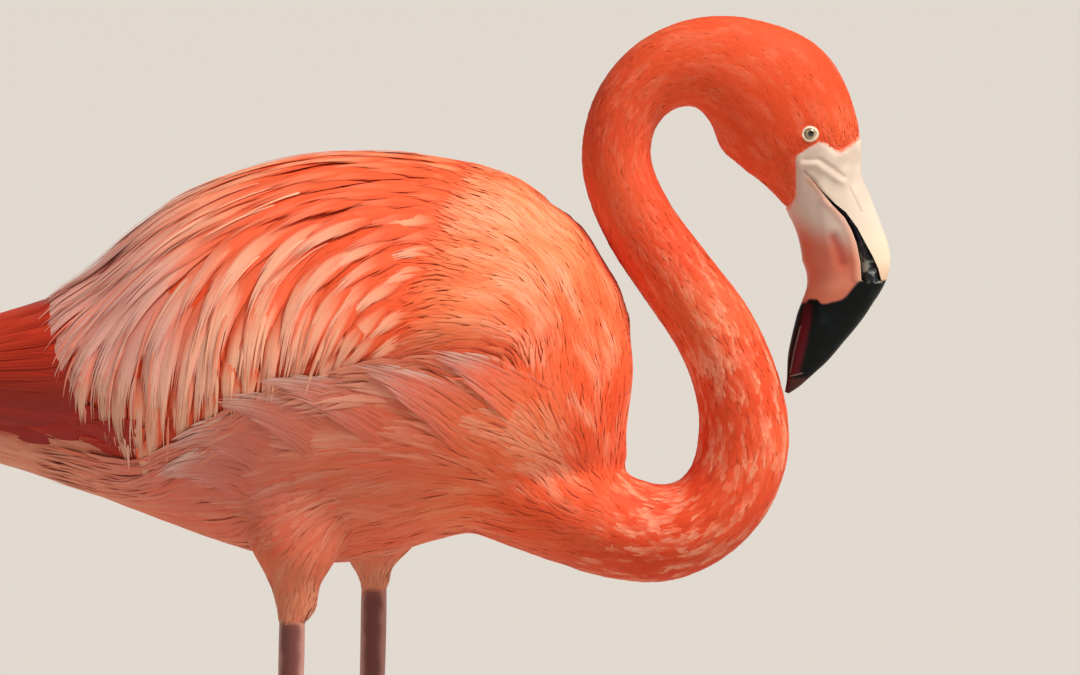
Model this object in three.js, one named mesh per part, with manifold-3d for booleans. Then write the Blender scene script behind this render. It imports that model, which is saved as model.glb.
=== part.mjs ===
// An American flamingo standing at rest with its neck in an S: a still, life-size model.
// Millimetres, +Z up. The bird faces +X and its left is +Y. The origin lies on the floor, under the
// middle of the bird's bounding box.
//
// Every part of flesh is a run of oval sections along a curve in the midplane. Booleans keep a thin
// gap between pieces that touch. The coat of feathers is included in the sizes.

import * as THREE from 'three';
import { mergeVertices } from 'three/addons/utils/BufferGeometryUtils.js';
import Module from 'manifold-3d';

const wasm = await Module();
wasm.setup();

// ---------------------------------------------------------------- driving dimensions

const GAP = 0.45; // between two pieces that touch
const FAR = 400; // further than any piece reaches

const WING_DEPTH = 6; // the folded wing stands out this far from the trunk
const CAPE_DEPTH = 12; // the long shoulder plumes stand out this far from the trunk
const SCALLOPS = 11; // feather tips along the cape's lower edge
const SCALLOP_DROP = 5;

const FOOT_JOINT_HEIGHT = 13;
const ANKLE_HEIGHT = 337;
const LEG_SPREAD = 37; // each leg's distance from the midplane
const RIGHT_LEG_X = -28;
const LEFT_LEG_X = 11;

const MIDDLE_TOE = 84;
const SIDE_TOE = 72;
const HIND_TOE = 15;
const TOE_SPREAD = THREE.MathUtils.degToRad(27);
const CLAW_LENGTH = 9;
const WEB_THICKNESS = 1.4;

const EYE_RADIUS = 5;
const EYE_CENTRE = new THREE.Vector3(224.8, -12.9, 779.2); // the right eye

// ---------------------------------------------------------------- swept bodies

// A run of oval sections. A station is { x, z, over, under, side }: the centre, the reach to the
// dorsal side, the reach to the ventral side, and the half-width.
class Run {
  constructor(stations, y = 0) {
    const curve = (points) => new THREE.CatmullRomCurve3(points, false, 'catmullrom', 0.5);
    this.centres = curve(stations.map((s) => new THREE.Vector3(s.x, s.y ?? y, s.z)));
    this.reaches = curve(stations.map((s) => new THREE.Vector3(s.over, s.under, s.side)));
    this.last = stations.length - 1;
  }

  // The closed solid between two stations. `grow` is added all round and at both ends, and `trim`
  // is taken off both ends.
  solid({ from = 0, to = this.last, steps, around = 20, grow = 0, trim = 0 }) {
    const tube = new THREE.CylinderGeometry(1, 1, 1, around, steps);
    const place = tube.getAttribute('position');
    for (let i = 0; i < place.count; i++) {
      const share = 0.5 - place.getY(i);
      const t = THREE.MathUtils.lerp(from, to, share) / this.last;
      const tangent = this.centres.getTangent(t);
      const dorsal = new THREE.Vector3(-tangent.z, 0, tangent.x).normalize();
      const reach = this.reaches.getPoint(t);
      const up = place.getZ(i);
      const end = share < 1e-6 ? -1 : share > 1 - 1e-6 ? 1 : 0;
      const point = this.centres.getPoint(t)
        .addScaledVector(dorsal, up * ((up > 0 ? reach.x : reach.y) + grow))
        .addScaledVector(tangent, end * (grow - trim));
      place.setXYZ(i, point.x, point.y + place.getX(i) * (reach.z + grow), point.z);
    }
    return solidOf(tube);
  }
}

// ---------------------------------------------------------------- solids

// A closed geometry as a solid that can be joined and cut.
function solidOf(geometry) {
  const bare = geometry.clone();
  bare.deleteAttribute('normal');
  bare.deleteAttribute('uv');
  const merged = mergeVertices(bare, 1e-3);
  const solid = new wasm.Manifold(new wasm.Mesh({
    numProp: 3,
    vertProperties: new Float32Array(merged.getAttribute('position').array),
    triVerts: new Uint32Array(merged.index.array),
  }));
  return solid;
}

// A prism standing on an outline in the midplane: a smooth edge drawn with `perPoint` pieces from
// point to point, then straight sides back to its start.
function prism(edge, corners, perPoint) {
  const shape = new THREE.Shape();
  shape.moveTo(edge[0].x, edge[0].y);
  shape.splineThru(edge.slice(1));
  for (const corner of corners) shape.lineTo(corner.x, corner.y);
  shape.closePath();
  const how = { depth: 2 * FAR, bevelEnabled: false, curveSegments: perPoint };
  const geometry = new THREE.ExtrudeGeometry(shape, how);
  geometry.rotateX(Math.PI / 2);
  geometry.translate(0, FAR, 0);
  return solidOf(geometry);
}

function ball(radius, centre) {
  return solidOf(new THREE.SphereGeometry(radius, 12, 8).translate(centre.x, centre.y, centre.z));
}

function slab(xLow, xHigh, yLow, yHigh, zLow, zHigh) {
  const box = new THREE.BoxGeometry(xHigh - xLow, yHigh - yLow, zHigh - zLow);
  box.translate((xLow + xHigh) / 2, (yLow + yHigh) / 2, (zLow + zHigh) / 2);
  return solidOf(box);
}

const at = (x, z) => new THREE.Vector2(x, z);

// ---------------------------------------------------------------- the group

const flamingo = new THREE.Group();

// Adds one closed body. Crumbs left by a cut are dropped.
function add(name, solid, material) {
  const body = solid.decompose().reduce((a, b) => (Math.abs(a.volume()) > Math.abs(b.volume()) ? a : b));
  const { vertProperties, triVerts } = body.simplify(0.05).getMesh();
  const geometry = new THREE.BufferGeometry();
  geometry.setAttribute('position', new THREE.BufferAttribute(vertProperties, 3));
  geometry.setIndex(new THREE.BufferAttribute(triVerts, 1));
  geometry.computeVertexNormals();
  const mesh = new THREE.Mesh(geometry, material.clone());
  mesh.name = name;
  flamingo.add(mesh);
}

const finish = (color, roughness) => new THREE.MeshStandardMaterial({ color, roughness, metalness: 0 });
const coralPlumage = finish('#e8603a', 0.9);
const palePlumage = finish('#f0a184', 0.9);
const scarletPlumage = finish('#c2301c', 0.85);
const blackPlumage = finish('#17130f', 0.7);
const ivoryBill = finish('#ecd3bd', 0.45);
const pinkBill = finish('#d9957c', 0.45);
const legSkin = finish('#b3776c', 0.5);
const clawHorn = finish('#3a2723', 0.4);
const eyeGloss = finish('#d9cf9c', 0.1);

// ---------------------------------------------------------------- trunk, wings and tail

const trunkRun = new Run([
  { x: -190, z: 632, over: 8, under: 12, side: 12 },
  { x: -171, z: 634, over: 20, under: 22, side: 28 },
  { x: -122, z: 648, over: 52, under: 57, side: 52 },
  { x: -73, z: 658, over: 83, under: 85, side: 66 },
  { x: -24, z: 664, over: 97, under: 100, side: 72 },
  { x: 25, z: 668, over: 97, under: 98, side: 72 },
  { x: 73, z: 664, over: 90, under: 83, side: 66 },
  { x: 108, z: 661.5, over: 76, under: 69, side: 52 },
  { x: 129, z: 661, over: 49, under: 58, side: 35 },
  { x: 138, z: 661, over: 30, under: 46, side: 21 },
]);
const trunk = (grow) => trunkRun.solid({ steps: 16, around: 20, grow });

// The folded wings carry on behind the trunk as a roof over the tail.
const rearRun = new Run([
  { x: -96, z: 664, over: 66, under: 60, side: 60 },
  { x: -122, z: 660, over: 48, under: 50, side: 55 },
  { x: -150, z: 658, over: 35, under: 38, side: 47 },
  { x: -180, z: 658, over: 28, under: 28, side: 38 },
  { x: -212, z: 658, over: 21, under: 19, side: 29 },
  { x: -243, z: 657, over: 12, under: 10, side: 18 },
  { x: -264, z: 655, over: 3, under: 3, side: 6 },
]);
const rear = (grow) => rearRun.solid({ steps: 8, around: 20, grow });

const tailRun = new Run([
  { x: -155, z: 629, over: 13, under: 13, side: 24 },
  { x: -190, z: 627, over: 9, under: 9, side: 27 },
  { x: -218, z: 631, over: 6, under: 6, side: 27 },
  { x: -240, z: 637, over: 3.5, under: 3.5, side: 22 },
  { x: -250, z: 641, over: 1.5, under: 1.5, side: 15 },
]);

// The lower edge of the folded wing, from the wrist back to the point where the long quills start.
const wingEdge = [
  at(96, 720), at(88, 684), at(50, 662), at(0, 648),
  at(-50, 632), at(-88, 611), at(-112, 606), at(-150, 616)
];
const wingArea = prism(wingEdge, [at(-150, 900), at(60, 900), at(90, 760)], 2);
const quillEdge = [at(-150 - GAP, 616), at(-190, 626), at(-232, 640)];
const quillArea = prism(quillEdge, [at(-232, 900), at(-150 - GAP, 900)], 2);
const tipArea = slab(-FAR, -232 - GAP, -FAR, FAR, 0, 900);

// The cape's lower edge runs back from the wrist and ends in the rounded tips of its plumes.
const capeLine = new THREE.SplineCurve([
  at(98, 735), at(95, 697), at(80, 677), at(44, 672), at(-10, 661), at(-43, 651),
  at(-74, 632), at(-99, 616), at(-121, 632), at(-142, 650), at(-154, 672), at(-157, 700),
]);
const capeEdge = [];
for (let i = 0; i <= SCALLOPS * 4; i++) {
  const share = i / (SCALLOPS * 4);
  const drop = share > 0.25 ? SCALLOP_DROP * Math.abs(Math.sin(share * SCALLOPS * Math.PI)) : 0;
  const point = capeLine.getPointAt(share);
  capeEdge.push(at(point.x, point.y - drop));
}
const capeArea = prism(capeEdge, [at(-157, 900), at(70, 900), at(90, 770)], 1);

const quills = rear(0).subtract(trunk(GAP)).subtract(rear(-WING_DEPTH));
const wings = trunk(WING_DEPTH).subtract(trunk(GAP)).subtract(rear(-WING_DEPTH)).add(quills);
const cape = trunk(CAPE_DEPTH).add(rear(CAPE_DEPTH - WING_DEPTH))
  .subtract(trunk(WING_DEPTH + GAP)).subtract(rear(GAP)).intersect(capeArea);

add('trunk', trunk(0), coralPlumage);
add('tail', tailRun.solid({ steps: 6, around: 12 }).subtract(trunk(GAP)).subtract(rear(GAP)), coralPlumage);
const HALVES = [
  ['right', slab(-FAR, FAR, -FAR, -GAP / 2, 0, 900)],
  ['left', slab(-FAR, FAR, GAP / 2, FAR, 0, 900)]
];
for (const [side, half] of HALVES) {
  add(`wing_${side}`, wings.intersect(wingArea).intersect(half), scarletPlumage);
  add(`tertials_${side}`, quills.intersect(quillArea).intersect(half), scarletPlumage);
  add(`primaries_${side}`, rear(0).intersect(tipArea).intersect(half), blackPlumage);
  add(`scapulars_${side}`, cape.intersect(half), palePlumage);
}

// ---------------------------------------------------------------- neck, head and bill

// One run from the breast through the neck and head to the tip of the bill, so that the lengths it
// is parted into share their end sections.
const spine = new Run([
  { x: 52, z: 624, over: 46, under: 38, side: 46 },
  { x: 82, z: 609, over: 42, under: 35.5, side: 45 },
  { x: 110, z: 594, over: 34, under: 31, side: 37 },
  { x: 132, z: 584.5, over: 28, under: 27, side: 29 },
  { x: 153, z: 582, over: 24.5, under: 25, side: 24 },
  { x: 173, z: 589, over: 22.5, under: 22.5, side: 21.5 },
  { x: 187, z: 605, over: 22.5, under: 22.5, side: 20.5 },
  { x: 193, z: 627, over: 23, under: 23, side: 20 },
  { x: 190, z: 653, over: 21.5, under: 21.8, side: 20 },
  { x: 178.5, z: 680, over: 20, under: 21.5, side: 19.5 },
  { x: 161, z: 706, over: 19.5, under: 20, side: 19 },
  { x: 142, z: 734, over: 19, under: 18.5, side: 18 },
  { x: 131, z: 762, over: 18, under: 17.5, side: 17 },
  { x: 134, z: 787, over: 17.5, under: 17.5, side: 16.5 },
  { x: 148, z: 805, over: 19, under: 19, side: 16.5 },
  { x: 168, z: 812.5, over: 22.5, under: 22, side: 17.5 }, // back of the head
  { x: 188, z: 808.5, over: 28.5, under: 28, side: 19 },
  { x: 207, z: 795, over: 35, under: 36, side: 19.5 },
  { x: 222, z: 774, over: 30, under: 31.5, side: 17.5 }, // eyes
  { x: 231.5, z: 752, over: 20.5, under: 22, side: 14 }, // root of the bill
  { x: 236.6, z: 740.5, over: 19.5, under: 20.5, side: 13 },
  { x: 240, z: 728, over: 21, under: 20, side: 12.5 },
  { x: 242, z: 714, over: 22.5, under: 20, side: 12 }, // bend of the bill
  { x: 238.5, z: 699, over: 17.5, under: 15.5, side: 11 },
  { x: 230, z: 683, over: 14, under: 12.5, side: 9.5 },
  { x: 222, z: 669, over: 11.5, under: 8, side: 7 },
  { x: 217.4, z: 657.5, over: 5.2, under: 3.4, side: 4 },
  { x: 215.4, z: 652, over: 1.3, under: 1.1, side: 1.3 },
]);
const HEAD_START = 15;
const BILL_START = 19;
const NECK_LENGTHS = [
  ['neck_base', 0, 4],
  ['neck_loop', 4, 7],
  ['neck_rise', 7, 10],
  ['neck_upper', 10, 13],
  ['neck_nape', 13, HEAD_START]
];
for (const [name, from, to] of NECK_LENGTHS) {
  const length = spine.solid({ from, to, steps: Math.ceil(2.5 * (to - from)), around: 16, trim: GAP / 2 });
  add(name, length.subtract(trunk(GAP)), coralPlumage);
}

const leftEyeCentre = EYE_CENTRE.clone().setY(-EYE_CENTRE.y);
add('head', spine.solid({ from: HEAD_START, to: BILL_START, steps: 10, around: 18, trim: GAP / 2 })
  .subtract(ball(EYE_RADIUS + GAP, EYE_CENTRE))
  .subtract(ball(EYE_RADIUS + GAP, leftEyeCentre)), coralPlumage);
add('eye_right', ball(EYE_RADIUS, EYE_CENTRE), eyeGloss);
add('eye_left', ball(EYE_RADIUS, leftEyeCentre), eyeGloss);

const bill = spine.solid({ from: BILL_START, steps: 17, around: 14, trim: GAP / 2 });

// The line of the mouth, from above the gape to the tip.
const mouthLine = [
  at(226, 756), at(235.7, 744.7), at(242.4, 738), at(248, 725), at(249.5, 708),
  at(244, 696), at(236, 683), at(226, 668), at(212, 646),
];
// The space in front of the mouth's line, with the line moved forward by `shift`.
const upperArea = (shift) => prism(
  mouthLine.map((point) => at(point.x + shift, point.y)),
  [at(300 + shift, 646), at(300 + shift, 800), at(250 + shift, 800)],
  2,
);
add('bill_upper', bill.intersect(upperArea(GAP)), ivoryBill);
add('bill_lower', bill.subtract(upperArea(0)), pinkBill);

// ---------------------------------------------------------------- legs and feet

const floorCut = slab(-FAR, FAR, -FAR, FAR, 0, 900);

// A tapering toe lying on the floor, from the foot's joint along the heading `turn`.
function toe(length, turn, rootRadius, tipRadius) {
  const run = new Run([
    { x: 0, z: FOOT_JOINT_HEIGHT - 6, over: rootRadius, under: rootRadius, side: rootRadius },
    { x: length * 0.3, z: rootRadius - 0.5, over: rootRadius, under: rootRadius, side: rootRadius },
    { x: length * 0.62, z: tipRadius - 0.6, over: tipRadius, under: tipRadius, side: tipRadius },
    { x: length, z: tipRadius - 0.8, over: tipRadius * 0.8, under: tipRadius * 0.8, side: tipRadius * 0.8 },
  ]);
  return run.solid({ steps: 4, around: 8 }).rotate([0, 0, THREE.MathUtils.radToDeg(turn)]);
}

function claw(length, turn, radius) {
  const run = new Run([
    { x: length + GAP, z: radius, over: radius, under: radius, side: radius * 0.9 },
    {
      x: length + CLAW_LENGTH * 0.6,
      z: radius,
      over: radius * 0.7,
      under: radius * 0.7,
      side: radius * 0.6
    },
    {
      x: length + CLAW_LENGTH,
      z: radius * 0.5,
      over: radius * 0.25,
      under: radius * 0.25,
      side: radius * 0.25
    },
  ]);
  return run.solid({ steps: 3, around: 6 }).rotate([0, 0, THREE.MathUtils.radToDeg(turn)]);
}

// The web fills the two spaces between the front toes, with a hollowed front edge.
function web() {
  const shape = new THREE.Shape();
  const tip = (turn, reach) => at(Math.cos(turn) * reach, Math.sin(turn) * reach);
  const outer = tip(-TOE_SPREAD, SIDE_TOE * 0.93);
  const middle = tip(0, MIDDLE_TOE * 0.9);
  const inner = tip(TOE_SPREAD, SIDE_TOE * 0.93);
  const hollow = (turn) => tip(turn, MIDDLE_TOE * 0.66);
  shape.moveTo(4, 0);
  shape.lineTo(outer.x, outer.y);
  shape.quadraticCurveTo(hollow(-TOE_SPREAD / 2).x, hollow(-TOE_SPREAD / 2).y, middle.x, middle.y);
  shape.quadraticCurveTo(hollow(TOE_SPREAD / 2).x, hollow(TOE_SPREAD / 2).y, inner.x, inner.y);
  shape.closePath();
  const how = { depth: WEB_THICKNESS, bevelEnabled: false, curveSegments: 5 };
  const plate = new THREE.ExtrudeGeometry(shape, how);
  return solidOf(plate.translate(0, 0, 0.8));
}

function addLeg(side, x, y, thighFront, thighEnd) {
  const heading = Math.sign(y) * THREE.MathUtils.degToRad(6);
  const stand = (solid) => solid.rotate([0, 0, THREE.MathUtils.radToDeg(heading)]).translate([x, y, 0]);
  const limb = (stations, steps, around, turns = {}) => new Run(stations)
    .solid({ steps, around, trim: GAP / 2, ...turns })
    .translate([x, y, 0]);
  const thigh = limb([
    { x: 2, z: 602, over: 40, under: 44, side: 27 },
    { x: 1, z: 578, over: 26, under: 25, side: 20 },
    { x: 0, z: 562, over: thighFront, under: 14, side: 13 },
    { x: 0, z: thighEnd + 6, over: thighFront * 0.85, under: 8.5, side: 9 },
    { x: 0, z: thighEnd, over: 7.5, under: 7, side: 7 },
  ], 8, 14);
  const tibia = limb([
    { x: 0, z: thighEnd, over: 7, under: 7, side: 6.6 },
    { x: -1, z: 500, over: 6.4, under: 6.4, side: 6 },
    { x: -4, z: 420, over: 5.8, under: 5.8, side: 5.4 },
    { x: -7, z: ANKLE_HEIGHT + 20, over: 6.6, under: 6.6, side: 6 },
  ], 6, 10);
  const hock = limb([
    { x: -7, z: ANKLE_HEIGHT + 20, over: 6.6, under: 6.6, side: 6 },
    { x: -8, z: ANKLE_HEIGHT + 8, over: 9.4, under: 8.6, side: 7.8 },
    { x: -8, z: ANKLE_HEIGHT - 6, over: 9.2, under: 9, side: 8.2 },
    { x: -7, z: ANKLE_HEIGHT - 22, over: 5.8, under: 5.8, side: 5.4 },
  ], 6, 10);
  const tarsus = limb([
    { x: -7, z: ANKLE_HEIGHT - 22, over: 5.8, under: 5.8, side: 5.4 },
    { x: -5, z: 240, over: 5.2, under: 5.2, side: 4.8 },
    { x: -2, z: 110, over: 5, under: 5, side: 4.6 },
    { x: 0, z: 40, over: 5.4, under: 5.4, side: 5 },
    { x: 0, z: FOOT_JOINT_HEIGHT + 6, over: 6.4, under: 6.4, side: 6.2 },
  ], 8, 10);
  const joint = limb([
    { x: 0, z: FOOT_JOINT_HEIGHT + 6, over: 6.4, under: 6.4, side: 6.2 },
    { x: 1, z: -1, over: 7.4, under: 6.4, side: 7 },
  ], 3, 10);
  const toes = toe(MIDDLE_TOE, 0, 5, 3.4)
    .add(toe(SIDE_TOE, TOE_SPREAD, 4.6, 3.2))
    .add(toe(SIDE_TOE, -TOE_SPREAD, 4.6, 3.2));
  const foot = stand(toes.add(web())).add(joint).intersect(floorCut);
  const hindToe = new Run([
    { x: -9, z: 9.5, over: 3, under: 3, side: 2.8 },
    { x: -13, z: 7, over: 2.9, under: 2.9, side: 2.7 },
    { x: -6 - HIND_TOE, z: 3, over: 2.4, under: 2.4, side: 2.2 },
  ]).solid({ steps: 4, around: 8 });
  const hindClaw = new Run([
    { x: -6 - HIND_TOE - GAP * 1.4, z: 2.7, over: 2, under: 2, side: 1.8 },
    { x: -11 - HIND_TOE, z: 1.2, over: 0.7, under: 0.7, side: 0.6 },
  ]).solid({ steps: 2, around: 8 });

  add(`thigh_${side}`, thigh.subtract(trunk(GAP)), palePlumage);
  add(`tibia_${side}`, tibia, legSkin);
  add(`hock_${side}`, hock, legSkin);
  add(`tarsus_${side}`, tarsus, legSkin);
  add(`foot_${side}`, foot, legSkin);
  add(`hind_toe_${side}`, stand(hindToe), legSkin);
  add(`claw_hind_${side}`, stand(hindClaw).intersect(floorCut), clawHorn);
  add(`claw_middle_${side}`, stand(claw(MIDDLE_TOE, 0, 2.6)).intersect(floorCut), clawHorn);
  const spread = Math.sign(y) * TOE_SPREAD;
  add(`claw_inner_${side}`, stand(claw(SIDE_TOE, -spread, 2.4)).intersect(floorCut), clawHorn);
  add(`claw_outer_${side}`, stand(claw(SIDE_TOE, spread, 2.4)).intersect(floorCut), clawHorn);
}
addLeg('right', RIGHT_LEG_X, -LEG_SPREAD, 17, 542);
addLeg('left', LEFT_LEG_X, LEG_SPREAD, 12, 550);

export default flamingo;
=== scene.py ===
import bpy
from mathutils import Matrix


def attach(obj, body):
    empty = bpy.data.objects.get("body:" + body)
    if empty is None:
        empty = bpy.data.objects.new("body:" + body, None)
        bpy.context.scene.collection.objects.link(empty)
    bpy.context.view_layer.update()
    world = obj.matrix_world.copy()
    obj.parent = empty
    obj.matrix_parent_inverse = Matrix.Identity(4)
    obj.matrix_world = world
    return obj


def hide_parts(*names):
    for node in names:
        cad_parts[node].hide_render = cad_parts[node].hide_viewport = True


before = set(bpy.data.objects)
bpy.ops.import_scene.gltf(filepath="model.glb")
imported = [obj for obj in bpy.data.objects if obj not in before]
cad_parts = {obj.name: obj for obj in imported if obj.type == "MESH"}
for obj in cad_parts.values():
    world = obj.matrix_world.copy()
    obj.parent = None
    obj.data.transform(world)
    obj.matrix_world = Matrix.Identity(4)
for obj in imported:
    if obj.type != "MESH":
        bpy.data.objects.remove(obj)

"""The looks of a life-size American flamingo standing at rest.

Metres in the file's frame: the bird faces +X, its left is +Y, the floor is z = 0. Lengths in the
tables are millimetres. One skin carries the flesh; over it lie locks of feathers, each a run of
thin closed strands that follow the lie of the coat.
"""

import logging
import math
from collections.abc import Callable
from dataclasses import dataclass, field
from enum import Enum
from functools import partial
from itertools import product

import bmesh
import bpy
import numpy as np
from bpy.types import Material, Mesh, Node, NodeSocket, NodeTree, Object, World, bpy_prop_collection
from mathutils import Vector
from mathutils.bvhtree import BVHTree

log = logging.getLogger("flamingo")
MM = 0.001
Array = np.ndarray
Line = list[tuple[float, float]]  # x and z of points in the side view, in millimetres
OfOne = Callable[[Array], Array]  # a number for each point or place
OfTwo = Callable[[Array, Array], Array]  # values from points and normals, or from two numbers
Tint = Callable[[Array, float], Array]  # colours from shares along a strand and its place across


# ---------------------------------------------------------------- numbers


def linear(code: str) -> Array:
    """Turns an sRGB hex colour into linear light.

    Args:
        code: six hex digits after a hash.
    Returns:
        Three numbers from 0 to 1.
    """
    c = np.array([int(code[i : i + 2], 16) / 255 for i in (1, 3, 5)])
    return np.where(c <= 0.04045, c / 12.92, ((c + 0.055) / 1.055) ** 2.4)


def smooth(low: float, high: float, x: Array) -> Array:
    """A soft step from 0 at `low` to 1 at `high`."""
    t = np.clip((np.asarray(x, float) - low) / (high - low), 0, 1)
    return t * t * (3 - 2 * t)


def mix(a: Array, b: Array, share: Array) -> Array:
    """Blends two sets of vectors, `share` of the second."""
    s = np.asarray(share)[..., None]
    return np.asarray(a) * (1 - s) + np.asarray(b) * s


def layered(colour: Array, *layers: tuple[Array | str, Array]) -> Array:
    """Blends colours over one another, each an array or a hex code with its share."""
    for tone, share in layers:
        colour = mix(colour, linear(tone) if isinstance(tone, str) else tone, share)
    return colour


def unit(v: Array) -> Array:
    """Vectors scaled to length 1."""
    return v / np.maximum(np.linalg.norm(v, axis=-1, keepdims=True), 1e-9)


def square_to(v: Array, n: Array) -> Array:
    """Unit vectors along the part of v that stands at right angles to n."""
    return unit(v - (v * n).sum(-1, keepdims=True) * n)


def turns(count: int) -> Array:
    """Angles spread evenly round a circle, in radians."""
    return np.arange(count) * 2 * np.pi / count


def side_view(p: Array) -> tuple[Array, Array]:
    """The x and z of points, in millimetres."""
    return p[..., 0] / MM, p[..., 2] / MM


def noise(p: Array, size: float, seed: int = 0) -> Array:
    """Smooth value noise from 0 to 1 over points.

    Args:
        p: points, in metres.
        size: the length over which the noise changes, in millimetres.
        seed: which noise.
    Returns:
        One number a point.
    """
    q = np.asarray(p, float) / (size * MM) + seed * 17.31
    cell = np.floor(q).astype(np.int64)
    part = q - cell
    part = part * part * (3 - 2 * part)
    total = np.zeros(q.shape[:-1])
    for step in product((0, 1), repeat=3):
        step = np.array(step[::-1])
        at = cell + step
        # Large primes scramble the corner's place into a number without a pattern.
        key = (at[..., 0] * 73856093) ^ (at[..., 1] * 19349663) ^ (at[..., 2] * 83492791) ^ (seed * 2654435)
        key = (key ^ (key >> 13)) * 1274126177 & 0x7FFFFFFF
        value = ((key ^ (key >> 16)) & 0xFFFF) / 65535.0
        weight = np.prod(np.where(step == 1, part, 1 - part), axis=-1)
        total += value * weight
    return total


def polyline_gap(x: Array, z: Array, line: Line) -> Array:
    """How far points of the side view are from a line.

    Args:
        x, z: the points, in millimetres.
        line: the ends of its straight pieces.
    Returns:
        One distance a point, in millimetres.
    """
    best = np.full(np.shape(x), 1e9)
    for (x0, z0), (x1, z1) in zip(line[:-1], line[1:]):
        dx, dz = x1 - x0, z1 - z0
        t = np.clip(((x - x0) * dx + (z - z0) * dz) / (dx * dx + dz * dz), 0, 1)
        best = np.minimum(best, np.hypot(x - x0 - t * dx, z - z0 - t * dz))
    return best


def near_line(x: Array, z: Array, line: Line, width: float) -> Array:
    """1 on a line of the side view, fading towards 0 over `width` millimetres."""
    return np.exp(-((polyline_gap(x, z, line) / width) ** 2))


def inside(x: Array, z: Array, outline: Line) -> Array:
    """Whether points of the side view lie inside an outline.

    Args:
        x, z: the points, in millimetres.
        outline: its corners; the last is joined to the first.
    Returns:
        True or False for each point.
    """
    result = np.zeros(np.shape(x), bool)
    for (x0, z0), (x1, z1) in zip(outline, outline[1:] + outline[:1]):
        crosses = (z0 > z) != (z1 > z)
        at = x0 + (z - z0) * (x1 - x0) / (z1 - z0 if z1 != z0 else 1e-9)
        result ^= crosses & (x < at)
    return result


# ---------------------------------------------------------------- runs of sections


@dataclass
class Run:
    """Oval sections along a curve in the midplane, in millimetres.

    Each row of `stations` is x, z, reach to the dorsal side, reach to the ventral side, half-width.
    """

    stations: list[tuple[float, float, float, float, float]]
    table: Array = field(init=False)

    def __post_init__(self) -> None:
        """Adds a station past each end, so that the curve reaches both."""
        rows = np.array(self.stations, float)
        self.table = np.vstack([2 * rows[0] - rows[1], rows, 2 * rows[-1] - rows[-2]])

    @property
    def last(self) -> int:
        """The number of the last station."""
        return len(self.stations) - 1

    def values(self, t: Array) -> Array:
        """Reads a smooth curve through the stations.

        Args:
            t: places, where 0 is the first station and 1 the next.
        Returns:
            A station's five numbers for each place.
        """
        t = np.clip(np.asarray(t, float), 0, self.last)
        k = np.minimum(t.astype(int), self.last - 1)
        s = (t - k)[..., None]
        a, b, c, d = (self.table[k + i] for i in range(4))
        square, cube = 2 * a - 5 * b + 4 * c - d, 3 * b - a - 3 * c + d
        return 0.5 * (2 * b + (c - a) * s + square * s**2 + cube * s**3)

    def frame(self, t: Array) -> tuple[Array, Array, Array, Array]:
        """The run's form, in metres.

        Args:
            t: places on the run.
        Returns:
            The centre, the tangent, the dorsal direction and the three reaches at each.
        """
        v = self.values(t)
        step = 0.01
        ahead = self.values(np.minimum(np.asarray(t) + step, self.last))[..., :2]
        behind = self.values(np.maximum(np.asarray(t) - step, 0))[..., :2]
        slope = ahead - behind
        flat = np.zeros(v.shape[:-1])
        tangent = unit(np.stack([slope[..., 0], flat, slope[..., 1]], -1))
        dorsal = np.stack([-tangent[..., 2], flat, tangent[..., 0]], -1)
        centre = np.stack([v[..., 0], flat, v[..., 1]], -1) * MM
        return centre, tangent, dorsal, v[..., 2:] * MM

    def loft(self, start: float, end: float, rings: int, around: int,
             inset: float | OfOne = 0.0, shape: OfTwo | None = None) -> "Shape":
        """A closed tube of sections.

        Args:
            start, end: the first and last place on the run.
            rings, around: how many sections, and how many points in each.
            inset: millimetres taken off all round, a number or a function of place.
            shape: a function of (place, height from -1 to 1) that scales the half-width.
        Returns:
            The tube with a cap at both ends.
        """
        t = np.linspace(start, end, rings)
        centre, _, dorsal, reach = self.frame(t)
        cut = (inset(t) if callable(inset) else np.full(rings, inset)) * MM
        angle = turns(around)
        up, out = np.cos(angle), np.sin(angle)
        tall = np.where(up[None] > 0, reach[:, :1], reach[:, 1:2]) - cut[:, None]
        wide = (reach[:, 2] - cut)[:, None] * np.ones(around)
        if shape:
            wide = wide * shape(t[:, None], up[None])
        p = centre[:, None] + dorsal[:, None] * (up * tall)[..., None]
        p[..., 1] += out * wide
        return Shape.tube(p)


@dataclass
class Shape:
    """Points and faces gathered for one mesh."""

    verts: Array
    faces: list[tuple[int, ...]]

    @staticmethod
    def tube(rings: Array) -> "Shape":
        """Makes a closed tube.

        Args:
            rings: (rings, around, 3) its points.
        Returns:
            The tube with a cap at both ends.
        """
        count, around = rings.shape[:2]
        verts = np.vstack([rings.reshape(-1, 3), rings[0].mean(0), rings[-1].mean(0)])
        faces = []
        for r in range(count - 1):
            for a in range(around):
                b = (a + 1) % around
                faces.append((r * around + a, r * around + b, (r + 1) * around + b, (r + 1) * around + a))
        first, final = count * around, count * around + 1
        top = (count - 1) * around
        for a in range(around):
            b = (a + 1) % around
            faces.append((b, a, first))
            faces.append((top + a, top + b, final))
        return Shape(verts, faces)

    def joined(self, other: "Shape") -> "Shape":
        """Both shapes in one mesh."""
        n = len(self.verts)
        moved = [tuple(i + n for i in face) for face in other.faces]
        return Shape(np.vstack([self.verts, other.verts]), self.faces + moved)

    def moved(self, x: float, y: float) -> "Shape":
        """The same shape, x and y millimetres away."""
        return Shape(self.verts + np.array([x, y, 0]) * MM, self.faces)

    def mesh(self, name: str) -> Mesh:
        """A Blender mesh with its faces turned outwards."""
        data = bpy.data.meshes.new(name)
        data.from_pydata(self.verts.tolist(), [], self.faces)
        work = bmesh.new()
        work.from_mesh(data)
        bmesh.ops.recalc_face_normals(work, faces=work.faces)
        work.to_mesh(data)
        work.free()
        return data


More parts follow.
